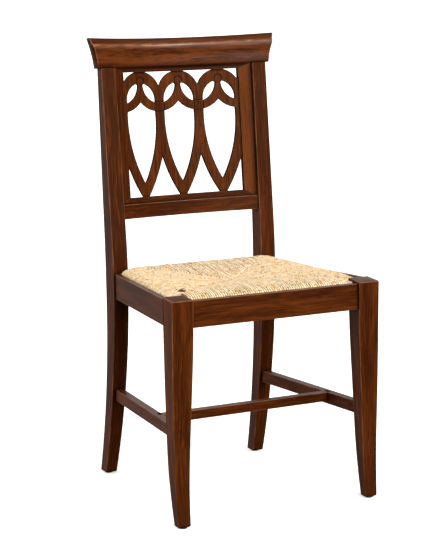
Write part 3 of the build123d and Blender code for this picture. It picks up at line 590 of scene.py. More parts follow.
def stained_timber(name, colours, lift=0.0, turn=None, carved_stain_and_shade=None, figure=1.0, polish=0.0):
    """Walnut-stained timber in satin lacquer, with streaks and pores along the grain and worn edges.

    The grain follows the piece's own attribute, or Object coordinates turned so that X runs along it.
    A lift makes a board that took less of the stain, and a negative one a darker board. The marks
    tell where stain has gathered in carved work and where shade and shadow are painted on, and
    painted shade darkens nooks and creases as well. More figure means more contrast between
    streaks, and polish adds clear lacquer, though not where the piece's attribute darkens it.
    """
    f = Finish(name)
    if turn is None:
        place = f.attribute("grain", "Vector")
        edge = f.attribute("edge", "Fac")
    else:
        place = f.turned(f.place(), turn)
        soft = f.node("ShaderNodeBevel", {"samples": 4}, {"Radius": FRET_BEVEL if carved_stain_and_shade else FRAME_BEVEL})
        plain = f.node("ShaderNodeNewGeometry", output="Normal")
        edge = (1 - f.facing(soft, plain)).between(0.01, 0.2)
    sway = f.noise(f.stretched(place, SWAY_GRAIN), detail=1) * 0.02
    place = f.moved(place, f.node("ShaderNodeCombineXYZ", sockets={"Y": sway, "Z": sway}))
    blotch = f.noise(f.stretched(place, BLOTCH_GRAIN), detail=3)
    streak = f.noise(f.stretched(place, STREAK_GRAIN), detail=6, roughness=0.66)
    fine = f.noise(f.stretched(place, FINE_GRAIN), detail=3)
    pore = f.noise(f.stretched(place, PORE_GRAIN), detail=2).between(0.6, 0.72)
    tone = streak * 0.6 + blotch * 0.45 + fine * 0.5 - (EVEN_STAIN - lift)
    spread = BODY_SPREAD / figure
    body = tone.between(BODY_MIDDLE - spread, BODY_MIDDLE + spread)
    colour = f.mix(body, colours.stain_dark, colours.stain_light)
    colour = f.mix(pore * 0.65, colour, colours.pore_stain_and_shade)
    rub = f.noise(f.stretched(place, RUB_GRAIN), detail=4).between(0.38, 0.66)
    colour = f.mix(edge * (0.15 + 0.45 * rub), colour, colours.worn_edge)
    # Darkening from the piece's attribute: end grain that took more stain, painted shade on the crest's top
    # slope, and a darker crest bottom, leg tops and feet
    if turn is None:
        deep = f.attribute("stain_and_painted_shade", "Fac").between(0.1, 0.9)
        colour = f.mix(deep * 0.7, colour, colours.stain_dark)
        polish = polish * (1 - deep)
    rough = 0.3 + 0.12 * fine + 0.1 * pore
    # Marks of stain in carved lines and of painted shade and shadow, made rough so that they keep no
    # highlight
    if carved_stain_and_shade:
        stain_shade_mask = carved_stain_and_shade(f)
        colour = f.mix(stain_shade_mask, colour, colours.pore_stain_and_shade)
        rough = rough + stain_shade_mask * 0.6
    # Painted shade: the colour darkens towards the pore colour where ambient occlusion finds nooks and
    # creases
    nook_shade = f.shut_in(NOOK_SHADE_REACH).between(0.07, 0.4)
    crease_shade = f.shut_in(CREASE_SHADE_DEPTH).between(0.1, 0.45)
    colour = f.mix(nook_shade * 0.9, colour, colours.pore_stain_and_shade)
    colour = f.mix(crease_shade * 0.9, colour, colours.pore_stain_and_shade)
    normal = f.bump(streak * 0.4 + fine * 0.6 - pore * 0.5, 0.22, 0.0006)
    return f.done(
        Base_Color=colour,
        Roughness=rough,
        Normal=normal,
        Coat_Weight=edge * EDGE_COAT + polish,
        Coat_Roughness=0.2,
        Specular_IOR_Level=0.1,
        Specular_Tint=LACQUER_TINT,
    )


def up_the_back(f):
    """Places across the chair and heights up its reclined back, in metres."""
    x, y, z = f.parts(f.place())
    behind, above = y - BACK_ORIGIN_Y * MM, z - POST_KNEE * MM
    return x, behind * math.sin(RECLINE) + above * math.cos(RECLINE)


def crest_shadow_strip(f):
    """Painted shadow under the crest: a dark strip just below its lower edge."""
    below = CREST_LOW * MM - up_the_back(f)[1]
    return (1 - below.between(0.003, 0.0065)) * 0.9


def fret_stain_and_shadow(f):
    """Dark marks on the pierced panel: painted shade on the sawn walls, a painted shadow along the groove
    over the top of the eyelets, and stain in the lines and round the pins of the bosses.

    Heights run up the reclined back. The pattern repeats with the hoops, so places across are
    measured from the nearest hoop, or from the nearest crossing between two hoops.
    """
    forward = (0, -math.cos(RECLINE), math.sin(RECLINE))
    normal = f.node("ShaderNodeNewGeometry", output="Normal")
    # Painted shade on the sawn walls, which face sideways
    wall_shade = 1 - f.facing(normal, forward).math("ABSOLUTE").between(0.35, 0.8)
    x, up = up_the_back(f)
    half = HOOP_PITCH * MM / 2

    def line(distance, size, width):
        off = (distance - size * MM).math("ABSOLUTE")
        return 1 - off.between(0.4 * width * MM, width * MM)

    hoop = x.math("WRAP", half, -half)
    high = up - EYELET_LEVEL * MM
    # Painted shadow along the groove over the upper half of the eyelets
    eyelet_shadow = line((hoop * hoop + high * high) ** 0.5, EYELET_RADIUS, 1.9) * high.between(-0.004, 0.002)
    crossing = (x + half).math("WRAP", half, -half)
    rise = up - BOSS_LEVEL * MM
    pin = line((crossing * crossing + rise * rise) ** 0.5, 0.45 * BOSS_HALF, 1.3) * 0.6
    square = rise.math("ABSOLUTE").math("MAXIMUM", crossing.math("ABSOLUTE"))
    inside = 1 - x.math("ABSOLUTE").between(1.4 * half, 1.5 * half)
    boss = pin.math("MAXIMUM", line(square, BOSS_HALF, 1.6)) * inside
    return eyelet_shadow.math("MAXIMUM", boss).math("MAXIMUM", wall_shade) * 0.97


def plain_timber(name, colours, turn):
    """Bare hardwood of the hidden blocks and bars: faint streaks along the grain, matt."""
    f = Finish(name)
    place = f.turned(f.place(), turn)
    streak = f.noise(f.stretched(place, (6, 210, 210)), detail=5)
    fine = f.noise(f.stretched(place, (30, 1200, 1200)), detail=2)
    colour = f.mix((streak * 0.8 + fine * 0.3).between(0.35, 0.8), colours.bare_dark, colours.bare_light)
    normal = f.bump(streak + fine, 0.2, 0.0005)
    return f.done(Base_Color=colour, Roughness=0.55 + 0.2 * fine, Normal=normal)


def rush_cord(name, colours, pale, lift):
    """Twisted rush: two strands wound round each other, straw coloured with darker leaves, and with painted
    shade on the flanks of each cord and in dark slits where the cords part.

    The lay is the length along the cord with the cosine and sine of the angle round it, so the
    strands are a helix without a seam: sin(length) cos(angle) + cos(length) sin(angle).
    """
    f = Finish(name)
    length, cosine, sine = f.parts(f.attribute("lay", "Vector"))
    tint = f.attribute("tint", "Fac")
    turn = length * (2 * math.pi / TWIST_LENGTH)
    strand = turn.math("SINE") * cosine + turn.math("COSINE") * sine
    groove = strand.between(-0.3, 0.8)
    along = f.node("ShaderNodeCombineXYZ", sockets={"X": length * LEAF_RATE, "Y": tint * TINT_STEP})
    leaf = f.noise(along, detail=3)
    gap = f.noise(f.moved(along, (31, 7, 0)), 2.2, detail=2).between(0.45, 0.6)
    place = f.place()
    bundle = f.noise(place, 85, detail=3, roughness=0.65)
    fibre = f.noise(place, 700, detail=3, roughness=0.65)
    body = (leaf * 0.7 + bundle * 0.9 + fibre * 0.3 - (0.43 - lift)).between(0.33, 0.63)
    colour = f.mix(body, colours.rush_tan, pale)
    colour = f.mix((1 - groove) * 0.5, colour, colours.rush_tan)
    # Painted shade: each cord darkens on its flanks, and dark slits mark where the cords part
    flank_shade = cosine.math("ABSOLUTE").between(0.45, 0.85)
    slit_shade = f.noise(f.moved(place, (3, 5, 0)), 190, detail=1).between(0.58, 0.66)
    slit_shade = slit_shade * (0.45 + 0.55 * flank_shade)
    colour = f.mix(flank_shade * (0.55 + 0.35 * gap), colour, colours.rush_dark)
    # Painted shade in the hollow and in the creases at the diagonals
    hollow = f.attribute("hollow", "Fac").between(0.2, 0.5)
    colour = f.mix(slit_shade.math("MAXIMUM", hollow) * 0.95, colour, colours.rush_gap)
    normal = f.bump(groove + fibre * 0.4 - slit_shade, 0.8, 0.001)
    return f.done(Base_Color=colour, Roughness=0.5 + 0.2 * fibre, Normal=normal, Specular_IOR_Level=0.25)


def rush_shade(name, colours):
    """The stuffing and inner layers seen between the cords: the same rush in shadow."""
    f = Finish(name)
    leaf = f.noise(f.place(), 300, detail=4)
    colour = f.mix(leaf.between(0.35, 0.7), colours.rush_gap, colours.rush_dark)
    return f.done(Base_Color=colour, Roughness=0.8 + 0.1 * leaf, Normal=f.bump(leaf, 0.8, 0.001))


def moulded_brown(name):
    """Dark moulded plastic of the glides, scuffed on the sole."""
    f = Finish(name)
    scuff = f.noise(f.place(), 420, detail=5)
    colour = f.mix(scuff.between(0.45, 0.75), *GLIDE_BROWN)
    return f.done(Base_Color=colour, Roughness=0.45 + 0.25 * scuff, Normal=f.bump(scuff, 0.25, 0.0004))


def plated_steel(name):
    """Zinc plated screws, a little dulled."""
    f = Finish(name)
    haze = f.noise(f.place(), 900, detail=4)
    colour = f.mix(haze, *ZINC)
    normal = f.bump(haze, 0.1, 0.0003)
    return f.done(Base_Color=colour, Metallic=1.0, Roughness=0.28 + 0.25 * haze, Normal=normal)


def pale_floor(name, colours):
    """Plain pale floor with the faintest mottle."""
    f = Finish(name)
    mottle = f.noise(f.place(), 3, detail=3)
    colour = f.mix(mottle * 0.15, colours.floor, FLOOR_MOTTLE)
    return f.done(
        Base_Color=colour,
        Roughness=0.7 + 0.1 * mottle,
        Specular_IOR_Level=0.2,
        Emission_Color=(1, 1, 1, 1),
        Emission_Strength=FLOOR_GLOW,
    )


def towards(azimuth, elevation):
    """Direction of a light: azimuth 0 is the front of the chair, 90 its right."""
    a, e = math.radians(azimuth), math.radians(elevation)
    return (math.sin(a) * math.cos(e), -math.cos(a) * math.cos(e), math.sin(e))


def studio_light(name):
    """World of soft panels over a dim room: each is a smooth step of the angle to its middle."""
    f = Finish(name, "worlds")
    way = f.node("ShaderNodeTexCoord", output="Generated")
    height = f.parts(way)[2]
    light = FLOOR_LIGHT + height.between(*HORIZON) * (ROOM_LIGHT - FLOOR_LIGHT)
    for azimuth, elevation, inner, outer, power in PANELS:
        rim, core = math.cos(math.radians(outer)), math.cos(math.radians(inner))
        light = light + power * f.facing(way, towards(azimuth, elevation)).between(rim, core)
    glow = f.node("ShaderNodeBackground", sockets={"Color": (1, 1, 1, 1), "Strength": light})
    return f.end("ShaderNodeOutputWorld", glow)


def material(maker, name, *values, **options):
    """A finish made once and shared by its pieces."""
    return bpy.data.materials.get(name) or maker(name, *values, **options)


# Turns that lay X along the grain, then the lift, figure and polish of the boards and of the rush
UPRIGHT = (math.pi / 2 + RECLINE, 0.0, math.pi / 2)
LEVEL = (0.0, 0.0, 0.0)
FORE_AND_AFT = (0.0, 0.0, math.pi / 2)
PLAIN_BOARD = -0.03
DARK_BOARD = -0.105
FRET_BOARD = -0.035
CREST_BOARD = 0.025
# The top member of the fret frame is made darker as painted shade from the crest's overhang
SHADED_BOARD = -0.16
CREST_FIGURE = 1.7
CREST_GRAIN = 1.6
CREST_POLISH = 0.14
PALE_BOARD = 0.13
# The front and back cords are lifted and the side cords coloured darker, as lit and shaded copies of one rush
PALE_RUSH = 0.035


# Properties


def measure(name, description, default):
    """A length property, in metres."""
    return bpy.props.FloatProperty(name=name, description=description, default=default, unit="LENGTH")


class ChairSizes(bpy.types.PropertyGroup):
    """Sizes that a user may change."""

    leg_edge: measure("Leg edges", "Rounding of the edges of legs and posts", 0.0014)
    rail_edge: measure("Rail edges", "Rounding of the edges of rails and stretchers", 0.0011)
    cord_pitch: measure("Cord spacing", "Spacing of the rush cords over the seat", 0.0045)
    cord_radius: measure("Cord radius", "Half the thickness of a rush cord", 0.0022)


def colour(name, description, default):
    """A colour property."""
    return bpy.props.FloatVectorProperty(
        name=name, description=description, default=default, subtype="COLOR", size=3, min=0, max=1
    )


class ChairColours(bpy.types.PropertyGroup):
    """Colours that a user may change, as linear values."""

    stain_dark: colour("Dark stain", "Dark streaks of the stained timber", (0.034, 0.0066, 0.001))
    stain_light: colour("Light stain", "Light streaks of the stained timber", (0.127, 0.0285, 0.0038))
    # The pore colour is also that of the painted shade in nooks and creases, on sawn walls and under the
    # crest
    pore_stain_and_shade: colour("Pores", "Stain gathered in the pores", (0.016, 0.004, 0.0012))
    worn_edge: colour("Worn edges", "Timber rubbed bare along the edges", (0.26, 0.095, 0.032))
    bare_dark: colour("Dark bare wood", "Dark streaks of the bare hardwood", (0.34, 0.2, 0.1))
    bare_light: colour("Light bare wood", "Light streaks of the bare hardwood", (0.58, 0.4, 0.23))
    rush_pale: colour("Pale rush", "Light leaves of the front and back cords", (0.93, 0.81, 0.595))
    # The side cords' colour is a darker copy of the pale rush, as painted shade
    rush_side_shaded: colour("Pale side rush", "Light leaves of the side cords", (0.77, 0.67, 0.495))
    rush_tan: colour("Tan rush", "Darker leaves of the rush", (0.66, 0.43, 0.18))
    rush_dark: colour("Rush in shadow", "Rush between the cords", (0.34, 0.15, 0.035))
    # This colour is also painted shade in the slits, the creases and the hollow
    rush_gap: colour("Rush gaps", "Slits and the hollow between slack cords", (0.03, 0.011, 0.003))
    floor: colour("Floor", "The floor under the chair", (0.93, 0.93, 0.925))


# Shapes of the frame


def corner_lines(x, y, z, side=1):
    """Corner lines of an upright bar: (outer, inner) x, (front, rear) y and (front, rear) z."""
    x_out, x_in = x
    y_front, y_rear = y
    z_front, z_rear = z
    across = (x_out, x_in, x_in, x_out)
    deep = (y_front, y_front, y_rear, y_rear)
    up = (z_front, z_front, z_rear, z_rear)
    return np.stack([np.stack([side * a, b, c], axis=-1) for a, b, c in zip(across, deep, up)])


def rear_post_shape(side, edge):
    """Rear post: sabre curve below the knee, a short bend, then the recline; curved inner face."""
    t = np.linspace(0, 1, 64)
    rear = POST_FRONT + POST_DEPTH
    pull, bend = POST_KNEE + POST_BLEND / 2, POST_KNEE + POST_BLEND
    shoulder = CREST_LOW - CREST_JOINT
    tops = back_lean(np.array([[0, 0, shoulder], [0, POST_TOP_DEPTH, shoulder]]))
    front_top, rear_top = tops[:, 1:]
    heel = -FRONT
    bend_front = (POST_FRONT + math.tan(RECLINE) * (bend - pull), bend)
    bend_rear = (rear + (bend - pull) / (rear_top[1] - pull) * (rear_top[0] - rear), bend)
    z_front = FOOT + t * (front_top[1] - FOOT)
    z_rear = FOOT + t * (rear_top[1] - FOOT)
    y_front = height_curve(
        z_front,
        [(heel - POST_FOOT_DEPTH, FOOT), (POST_FRONT, POST_KNEE / 2), (POST_FRONT, POST_KNEE)],
        [(POST_FRONT, POST_KNEE), (POST_FRONT, pull), bend_front],
        [bend_front, front_top],
    )
    y_rear = height_curve(
        z_rear,
        [(heel, FOOT), (rear, POST_CALF / 2), (rear, POST_CALF)],
        [(rear, POST_KNEE), (rear, pull), bend_rear],
        [bend_rear, rear_top],
    )
    x_in = height_curve(
        z_front,
        [(HALF_BACK - POST_FOOT_WIDTH, FOOT), (POST_INNER, POST_KNEE / 2), (POST_INNER, POST_KNEE)],
        [(POST_INNER, POST_KNEE), (POST_TOP_INNER, front_top[1])],
    )
    x_out = np.full_like(t, HALF_BACK)
    lines = corner_lines((x_out, x_in), (y_front, y_rear), (z_front, z_rear), side)
    return lofted(lines, edge, (FOOT_ROUND, 0))


def front_leg_shape(side, edge):
    """Front leg: straight taper to the ankle, then front and back sweep forward to the toe; domed top."""
    t = np.linspace(0, 1, 56)
    z_front = FOOT + t * (SEAT_HEIGHT - FOOT)
    z_rear = z_front + LEG_TOP_RISE * np.clip((t - 0.9) / 0.1, 0, 1)
    toe = FRONT + LEG_TOE_SETBACK
    shin = FRONT + LEG_ANKLE_SETBACK
    calf = shin + LEG_ANKLE_DEPTH
    drop = (LEG_ANKLE - FOOT) / 2
    shin_pull = shin + LEG_ANKLE_SETBACK / (SEAT_HEIGHT - LEG_ANKLE) * drop
    calf_pull = calf + (calf - LEG_REAR) / (SEAT_HEIGHT + LEG_TOP_RISE - LEG_ANKLE) * drop
    y_front = height_curve(
        z_front,
        [(toe, FOOT), (shin_pull, LEG_ANKLE - drop), (shin, LEG_ANKLE)],
        [(shin, LEG_ANKLE), (FRONT, SEAT_HEIGHT)],
    )
    y_rear = height_curve(
        z_rear,
        [(toe + LEG_FOOT_DEPTH, FOOT), (calf_pull, LEG_ANKLE - drop), (calf, LEG_ANKLE)],
        [(calf, LEG_ANKLE), (LEG_REAR, SEAT_HEIGHT + LEG_TOP_RISE)],
    )
    rail_foot = RAIL_TOP - FRONT_RAIL_DROP - RAIL_HEIGHT
    knee = LEG_KNEE_SHARE * rail_foot
    outer_foot = HALF_FRONT - LEG_OUTER_TAPER
    inner_foot = outer_foot - LEG_FOOT_WIDTH
    x_out = height_curve(z_front, [(outer_foot, FOOT), (HALF_FRONT, knee / 2), (HALF_FRONT, knee)])
    x_in = height_curve(
        z_front,
        [
            (inner_foot, FOOT),
            (inner_foot - 0.1 * (inner_foot - LEG_INNER), LEG_ANKLE),
            (LEG_INNER, 2 * LEG_ANKLE),
            (LEG_INNER, rail_foot),
        ],
    )
    lines = corner_lines((x_out, x_in), (y_front, y_rear), (z_front, z_rear), side)
    points, faces, attributes = lofted(lines, edge, (FOOT_ROUND, LEG_TOP_ROUND), crown=LEG_CROWN)
    # Darker towards the floor and on the top
    foot = np.clip(1 - (points[:, 2] - FOOT) / FOOT_DARKENING, 0, 1)
    on_top = points[:, 2] > SEAT_HEIGHT - 0.5
    attributes["stain_and_painted_shade"] = np.maximum(foot, LEG_TOP_DARKENING * on_top)
    return points, faces, attributes


def rail_lines(section, ends):
    """Corner lines of a rail: its section points moved from one end to the other."""
    t = np.linspace(0, 1, 9)[None, :, None]
    first, last = (np.array([end(a, z) for a, z in section], float)[:, None] for end in ends)
    return first + t * (last - first)


def rail_section(lip, drop):
    """Section of a seat rail, rabbeted for the loose seat: (in from the outer face, height)."""
    top = RAIL_TOP - drop
    low = top - RAIL_HEIGHT
    return [(0, low), (0, top), (lip, top), (lip, LEDGE), (RAIL_THICKNESS, LEDGE), (RAIL_THICKNESS, low)]


def rail_rounding(edge):
    """Rounding of a seat rail's corners in the order of its section, slighter in the rebate."""
    return [edge, edge, 0.6 * edge, *RAIL_INNER_ROUNDS]


def front_rail_shape(edge):
    """Front rail: its section carried straight from leg to leg, then tilted with the seat."""
    y0 = FRONT + FRONT_RAIL_SETBACK
    reach = LEG_INNER + RAIL_TONGUE
    ends = (lambda a, z: (-reach, y0 + a, z), lambda a, z: (reach, y0 + a, z))
    lines = rail_lines(rail_section(FRONT_LIP, FRONT_RAIL_DROP), ends)
    return lofted(seat_tilt(lines), rail_rounding(edge))


def side_rail_shape(side, edge):
    """Side rail: its section carried along the leaning line from leg to post, then tilted with the seat."""
    widen = 1 / math.cos(RAIL_LEAN)
    y0, y1 = LEG_REAR - RAIL_TONGUE, POST_FRONT + RAIL_TONGUE
    ends = (
        lambda a, z: (side * (rail_outer(y0) - a * widen), y0, z),
        lambda a, z: (side * (rail_outer(y1) - a * widen), y1, z),
    )
    lines = rail_lines(rail_section(SIDE_LIP, 0), ends)
    return lofted(seat_tilt(lines), rail_rounding(edge))


def stretcher_axis(y):
    """Middle line of a side stretcher at a depth."""
    share = (y - LEG_REAR) / (POST_FRONT - LEG_REAR)
    start, end = HALF_FRONT - STRETCHER_FRONT_INSET, HALF_BACK - STRETCHER_REAR_INSET
    return start + share * (end - start)


def bar_lines(start, end, across, low, high):
    """Corner lines of a level bar between two plan points, as wide as a plan vector."""
    t = np.linspace(0, 1, 9)[:, None]
    run = np.asarray(start) + t * (np.asarray(end) - np.asarray(start))
    half = np.asarray(across) / 2
    plan = (run + half, run - half, run - half, run + half)
    levels = (low, low, high, high)
    return np.stack([np.concatenate([p, np.full((len(t), 1), z)], axis=1) for p, z in zip(plan, levels)])


def side_stretcher_shape(side, edge):
    """Side stretcher: a straight bar that ends inside the leg and the post."""
    y0, y1 = LEG_REAR - STRETCHER_LEG_TENON, POST_FRONT + STRETCHER_POST_TENON
    ends = (side * stretcher_axis(y0), y0), (side * stretcher_axis(y1), y1)
    return lofted(bar_lines(*ends, (STRETCHER_THICKNESS, 0), STRETCHER_LOW, STRETCHER_HIGH), edge)


def cross_stretcher_shape(edge):
    """Cross stretcher: a straight bar between the middles of the side stretchers."""
    y = FRONT + CROSS_SETBACK + STRETCHER_THICKNESS / 2
    end = stretcher_axis(y)
    low = STRETCHER_HIGH - CROSS_HEIGHT
    lines = bar_lines((-end, y), (end, y), (0, STRETCHER_THICKNESS), low, STRETCHER_HIGH)
    return lofted(lines, edge)


def lower_rail_shape(edge):
    """Lower back rail: a rectangle carried round the bow of the back."""
    axis = LOWER_RAIL_SETBACK - math.sqrt(BACK_BOW**2 - POST_INNER**2)
    swing = math.asin((POST_INNER + RAIL_TONGUE) / BACK_BOW)
    turn = np.linspace(-swing, swing, 41)
    radii = (BACK_BOW, BACK_BOW, BACK_BOW + LOWER_RAIL_THICKNESS, BACK_BOW + LOWER_RAIL_THICKNESS)
    levels = (LOWER_RAIL_LOW, LOWER_RAIL_HIGH, LOWER_RAIL_HIGH, LOWER_RAIL_LOW)
    lines = [
        np.stack([r * np.sin(turn), axis + r * np.cos(turn), np.full_like(turn, w)], axis=-1)
        for r, w in zip(radii, levels)
    ]
    return lofted(back_lean(np.array(lines)), edge)


def crest_section():
    """Front and rear of the crest's section at the same heights: (depth, height) rows going up."""
    h, t, r = CREST_HEIGHT, CREST_THICKNESS, CREST_FOOT_ROUND
    nose, lip = (-0.06 * t, 0.61 * h), (0.08 * t, 0.785 * h)
    cove, top = (0.22 * t, 0.81 * h), (0.52 * t, h)
    u = np.linspace(0, 1, 9)
    front = np.concatenate([
        bezier([(r, 0), (0, 0), (0, r)], u[::2]),
        bezier([(0, r), (0, 0.3 * h)], u[1::2]),
        bezier([(0, 0.3 * h), (0, 0.45 * h), (nose[0], 0.52 * h), nose], u[1:]),
        bezier([nose, (nose[0], 0.68 * h), (-0.035 * t, 0.75 * h), lip], u[1:]),
        bezier([lip, (0.14 * t, 0.79 * h), (0.19 * t, 0.795 * h), cove], u[1:]),
        bezier([cove, (0.28 * t, 0.88 * h), (0.36 * t, h), top], u[1:]),
    ])
    share = front[:, 1] / h
    rear = t * (1 - 0.03 * share - 0.08 * np.clip((share - 0.93) / 0.07, 0, 1) ** 2)
    return front, np.stack([rear, front[:, 1]], axis=-1)


def crest_shape():
    """Crest: depth and height of the section carried round the bow.

    Across is (radius + depth) sin(s end), with s from -1 to 1 and end the angle at which the flared
    outline cuts that height; the top is hollowed by (1 - s squared) towards its middle.
    """
    front, rear = crest_section()
    section = np.concatenate([front, rear[::-1]])
    h = CREST_HEIGHT
    half = HALF_BACK + CREST_OVERHANG
    axis = -CREST_PROUD - math.sqrt(CREST_BOW**2 - half**2)
    share = section[:, 1] / h
    reach = half + 0.4 * CREST_FLARE * share * (1 - share) + CREST_FLARE * share**2
    radius = CREST_BOW + section[:, 0]
    swing = np.arcsin(reach / radius)
    flat = np.linspace(-CREST_FLAT, CREST_FLAT, 61)
    s = np.concatenate([[-1, -CREST_RIM], flat, [CREST_RIM, 1]])[:, None]
    tip, rim = np.abs(s) == 1, np.abs(s) == CREST_RIM
    inset = np.where(tip, CREST_END_ROUND, 0.0)
    depth = section[:, 0] + (0.5 * CREST_THICKNESS - section[:, 0]) * inset / CREST_END_DRAW[0]
    level = section[:, 1] + (0.5 * h - section[:, 1]) * inset / CREST_END_DRAW[1]
    turn = s * swing
    level = level - CREST_HOLLOW * (1 - s**2) * share**6
    x = (CREST_BOW + depth) * np.sin(turn)
    y = axis + (CREST_BOW + depth) * np.cos(turn)
    grid = back_lean(np.stack([x, y, CREST_LOW + level], axis=-1))
    rows, columns = grid.shape[:2]
    faces = grid_faces(rows, columns, True).tolist()
    half_count = len(front)
    near = np.arange(half_count)
    far = columns - 1 - near
    for row in (0, rows - 1):
        base = row * columns
        quads = np.stack([near[:-1], near[1:], far[1:], far[:-1]], axis=-1) + base
        faces += (quads[:, ::-1] if row == 0 else quads).tolist()
    across = [np.broadcast_to(part, x.shape) for part in section.T]
    grain = np.stack([x, *across], axis=-1)
    # Nose rows lightened as wear and as a painted highlight; top slope darkened as painted shade; darker
    # towards the bottom; end grain takes more stain
    rubbed_and_lit = np.zeros(columns)
    rubbed_and_lit[CREST_NOSE_COLUMN : CREST_NOSE_COLUMN + len(CREST_NOSE_WEAR_AND_HIGHLIGHT)] = CREST_NOSE_WEAR_AND_HIGHLIGHT
    rubbed_and_lit[half_count - 3 : half_count + 4] = CREST_TOP_WEAR
    edge = np.maximum(rubbed_and_lit[None, :], CREST_RIM_WEAR * rim) * ~tip
    deep = np.clip(1 - share / CREST_FOOT_DARKENING, 0, 1)
    deep[half_count - CREST_SLOPE_COLUMNS : half_count] = CREST_SLOPE_SHADE
    attributes = {
        "grain": CREST_GRAIN * grain.reshape(-1, 3),
        "edge": edge.reshape(-1),
        "stain_and_painted_shade": np.maximum(deep[None, :], tip).reshape(-1),
    }
    return grid.reshape(-1, 3), faces, attributes


# Shapes of the rush seat


def seat_outline():
    """Plan corners of the rush, anticlockwise from the front left, and the point where lobes meet."""
    lip = (SIDE_LIP + SEAT_GAP) / math.cos(RAIL_LEAN)
    y0 = FRONT + FRONT_RAIL_SETBACK + FRONT_LIP + SEAT_GAP
    y1 = POST_FRONT - SEAT_GAP
    half0, half1 = rail_outer(y0) - lip, rail_outer(y1) - lip
    corners = np.array([(-half0, y0), (half0, y0), (half1, y1), (-half1, y1)])
    return corners, np.array([0.0, (y0 + y1) / 2])


SEAT_CORNERS, SEAT_APEX = seat_outline()


class Lobe:
    """One of the four fields of cords: its edge, its depth to the apex and its section."""

    def __init__(self, index):
        self.start = SEAT_CORNERS[index]
        end = SEAT_CORNERS[(index + 1) % 4]
        self.length = np.linalg.norm(end - self.start)
        self.along = (end - self.start) / self.length
        self.inward = np.array([-self.along[1], self.along[0]])
        to_apex = SEAT_APEX - self.start
        self.depth = to_apex @ self.inward
        self.apex_at = to_apex @ self.along

    def section(self, inset):
        """Depth and height from the apex over roll and edge to the underside, drawn in by an inset."""
        deep = self.depth
        top = RUSH_LOW + RUSH_EDGE
        mid = RUSH_LOW + RUSH_CENTRE
        waist = RUSH_LOW + 0.45 * RUSH_EDGE
        roll = RUSH_ROLL * self.depth / (SEAT_APEX[1] - SEAT_CORNERS[0, 1])
        t = np.linspace(0, 1, SECTION_STEPS)
        line = np.concatenate([
            bezier([(deep, mid), (0.7 * deep, mid + 2), (0.45 * deep, top), (roll, top)], t),
            bezier([(roll, top), (0.4 * roll, top), (0, top - 6), (0, waist)], t[1:]),
            bezier([(0, waist), (0, RUSH_LOW + UNDER_ROUND), (0, RUSH_LOW), (UNDER_ROUND, RUSH_LOW)], t[1:]),
            bezier([(UNDER_ROUND, RUSH_LOW), (deep, RUSH_LOW)], t[1:]),
        ])
        way = unit(np.gradient(line, axis=0))
        return line + inset * np.stack([-way[:, 1], way[:, 0]], axis=-1)

    def limit(self, place):
        """Depth of the diagonal at a place along the edge."""
        rising = self.depth * place / self.apex_at
        falling = self.depth * (self.length - place) / (self.length - self.apex_at)
        return np.minimum(rising, falling)

    def plan(self, place, depth):
        """Plan points at a place along the edge and a depth in from it."""
        return self.start + place[..., None] * self.along + depth[..., None] * self.inward


LOBES = {name: Lobe(index) for index, name in enumerate(("front", "right", "back", "left"))}


def corner_fall(plan, level, inset):
    """Heights held down near the corners, which fall away on arcs along the diagonals."""
    for corner, fall, reach in zip(SEAT_CORNERS, CORNER_FALL, CORNER_REACH):
        radius = (reach**2 + fall**2) / (2 * fall)
        gap = np.clip(reach - (plan - corner) @ unit(SEAT_APEX - corner), 0, reach)
        level = np.minimum(level, RUSH_LOW + RUSH_EDGE - inset - radius + np.sqrt(radius**2 - gap**2))
    return level


def seat_points(plan, level):
    """Rush points in the chair: the top rises to the rear over a flat underside, tilted with the seat."""
    share = np.clip((level - RUSH_LOW) / RUSH_EDGE, 0, 1)
    lift = share * (plan[..., 1] - SEAT_CORNERS[0, 1]) * math.tan(RUSH_LIFT)
    return seat_tilt(np.concatenate([plan, (level + lift)[..., None]], axis=-1))


def cord_places(name, pitch):
    """Places of the cords along a lobe's edge: evenly spaced, clear of the front leg tops."""
    lobe = LOBES[name]
    if name == "front":
        first = LEG_INNER - SEAT_GAP - CORD_ROOM
        limits = (-lobe.start[0] - first, -lobe.start[0] + first)
    else:
        clear = (LEG_REAR + SEAT_GAP + CORD_ROOM - SEAT_CORNERS[0, 1]) / math.cos(RAIL_LEAN)
        before = clear if name == "right" else CORD_MARGIN
        after = clear if name == "left" else CORD_MARGIN
        limits = (before, lobe.length - after)
    count = int(round((limits[1] - limits[0]) / pitch))
    return np.linspace(*limits, count)


def cord_stops(lobe, places, line, run):
    """Lengths along the section at which each cord has a ring, with its start and its end.

    The rings lie from the diagonal to the roll, over the edge, and underneath to the diagonal.
    """
    over = int(np.argmax(line[:, 1]))
    limit = np.maximum(lobe.limit(places) - DIAGONAL_GAP, LEAST_REACH)
    start = np.interp(-limit, -line[:WAIST_AT, 0], run[:WAIST_AT])
    roll_at = np.maximum(run[over + ROLL_STEP], start)
    under_at = np.full_like(start, run[UNDER_AT])
    end = under_at + np.maximum(limit - UNDER_ROUND, LEAST_TAIL)
    marks = (start, roll_at, under_at, end)
    spans = zip(marks, marks[1:], CORD_RINGS)
    rows = [a[:, None] + (b - a)[:, None] * np.linspace(0, 1, steps) for a, b, steps in spans]
    return np.concatenate([rows[0][:, :-1], rows[1][:, :-1], rows[2]], axis=1), start, end


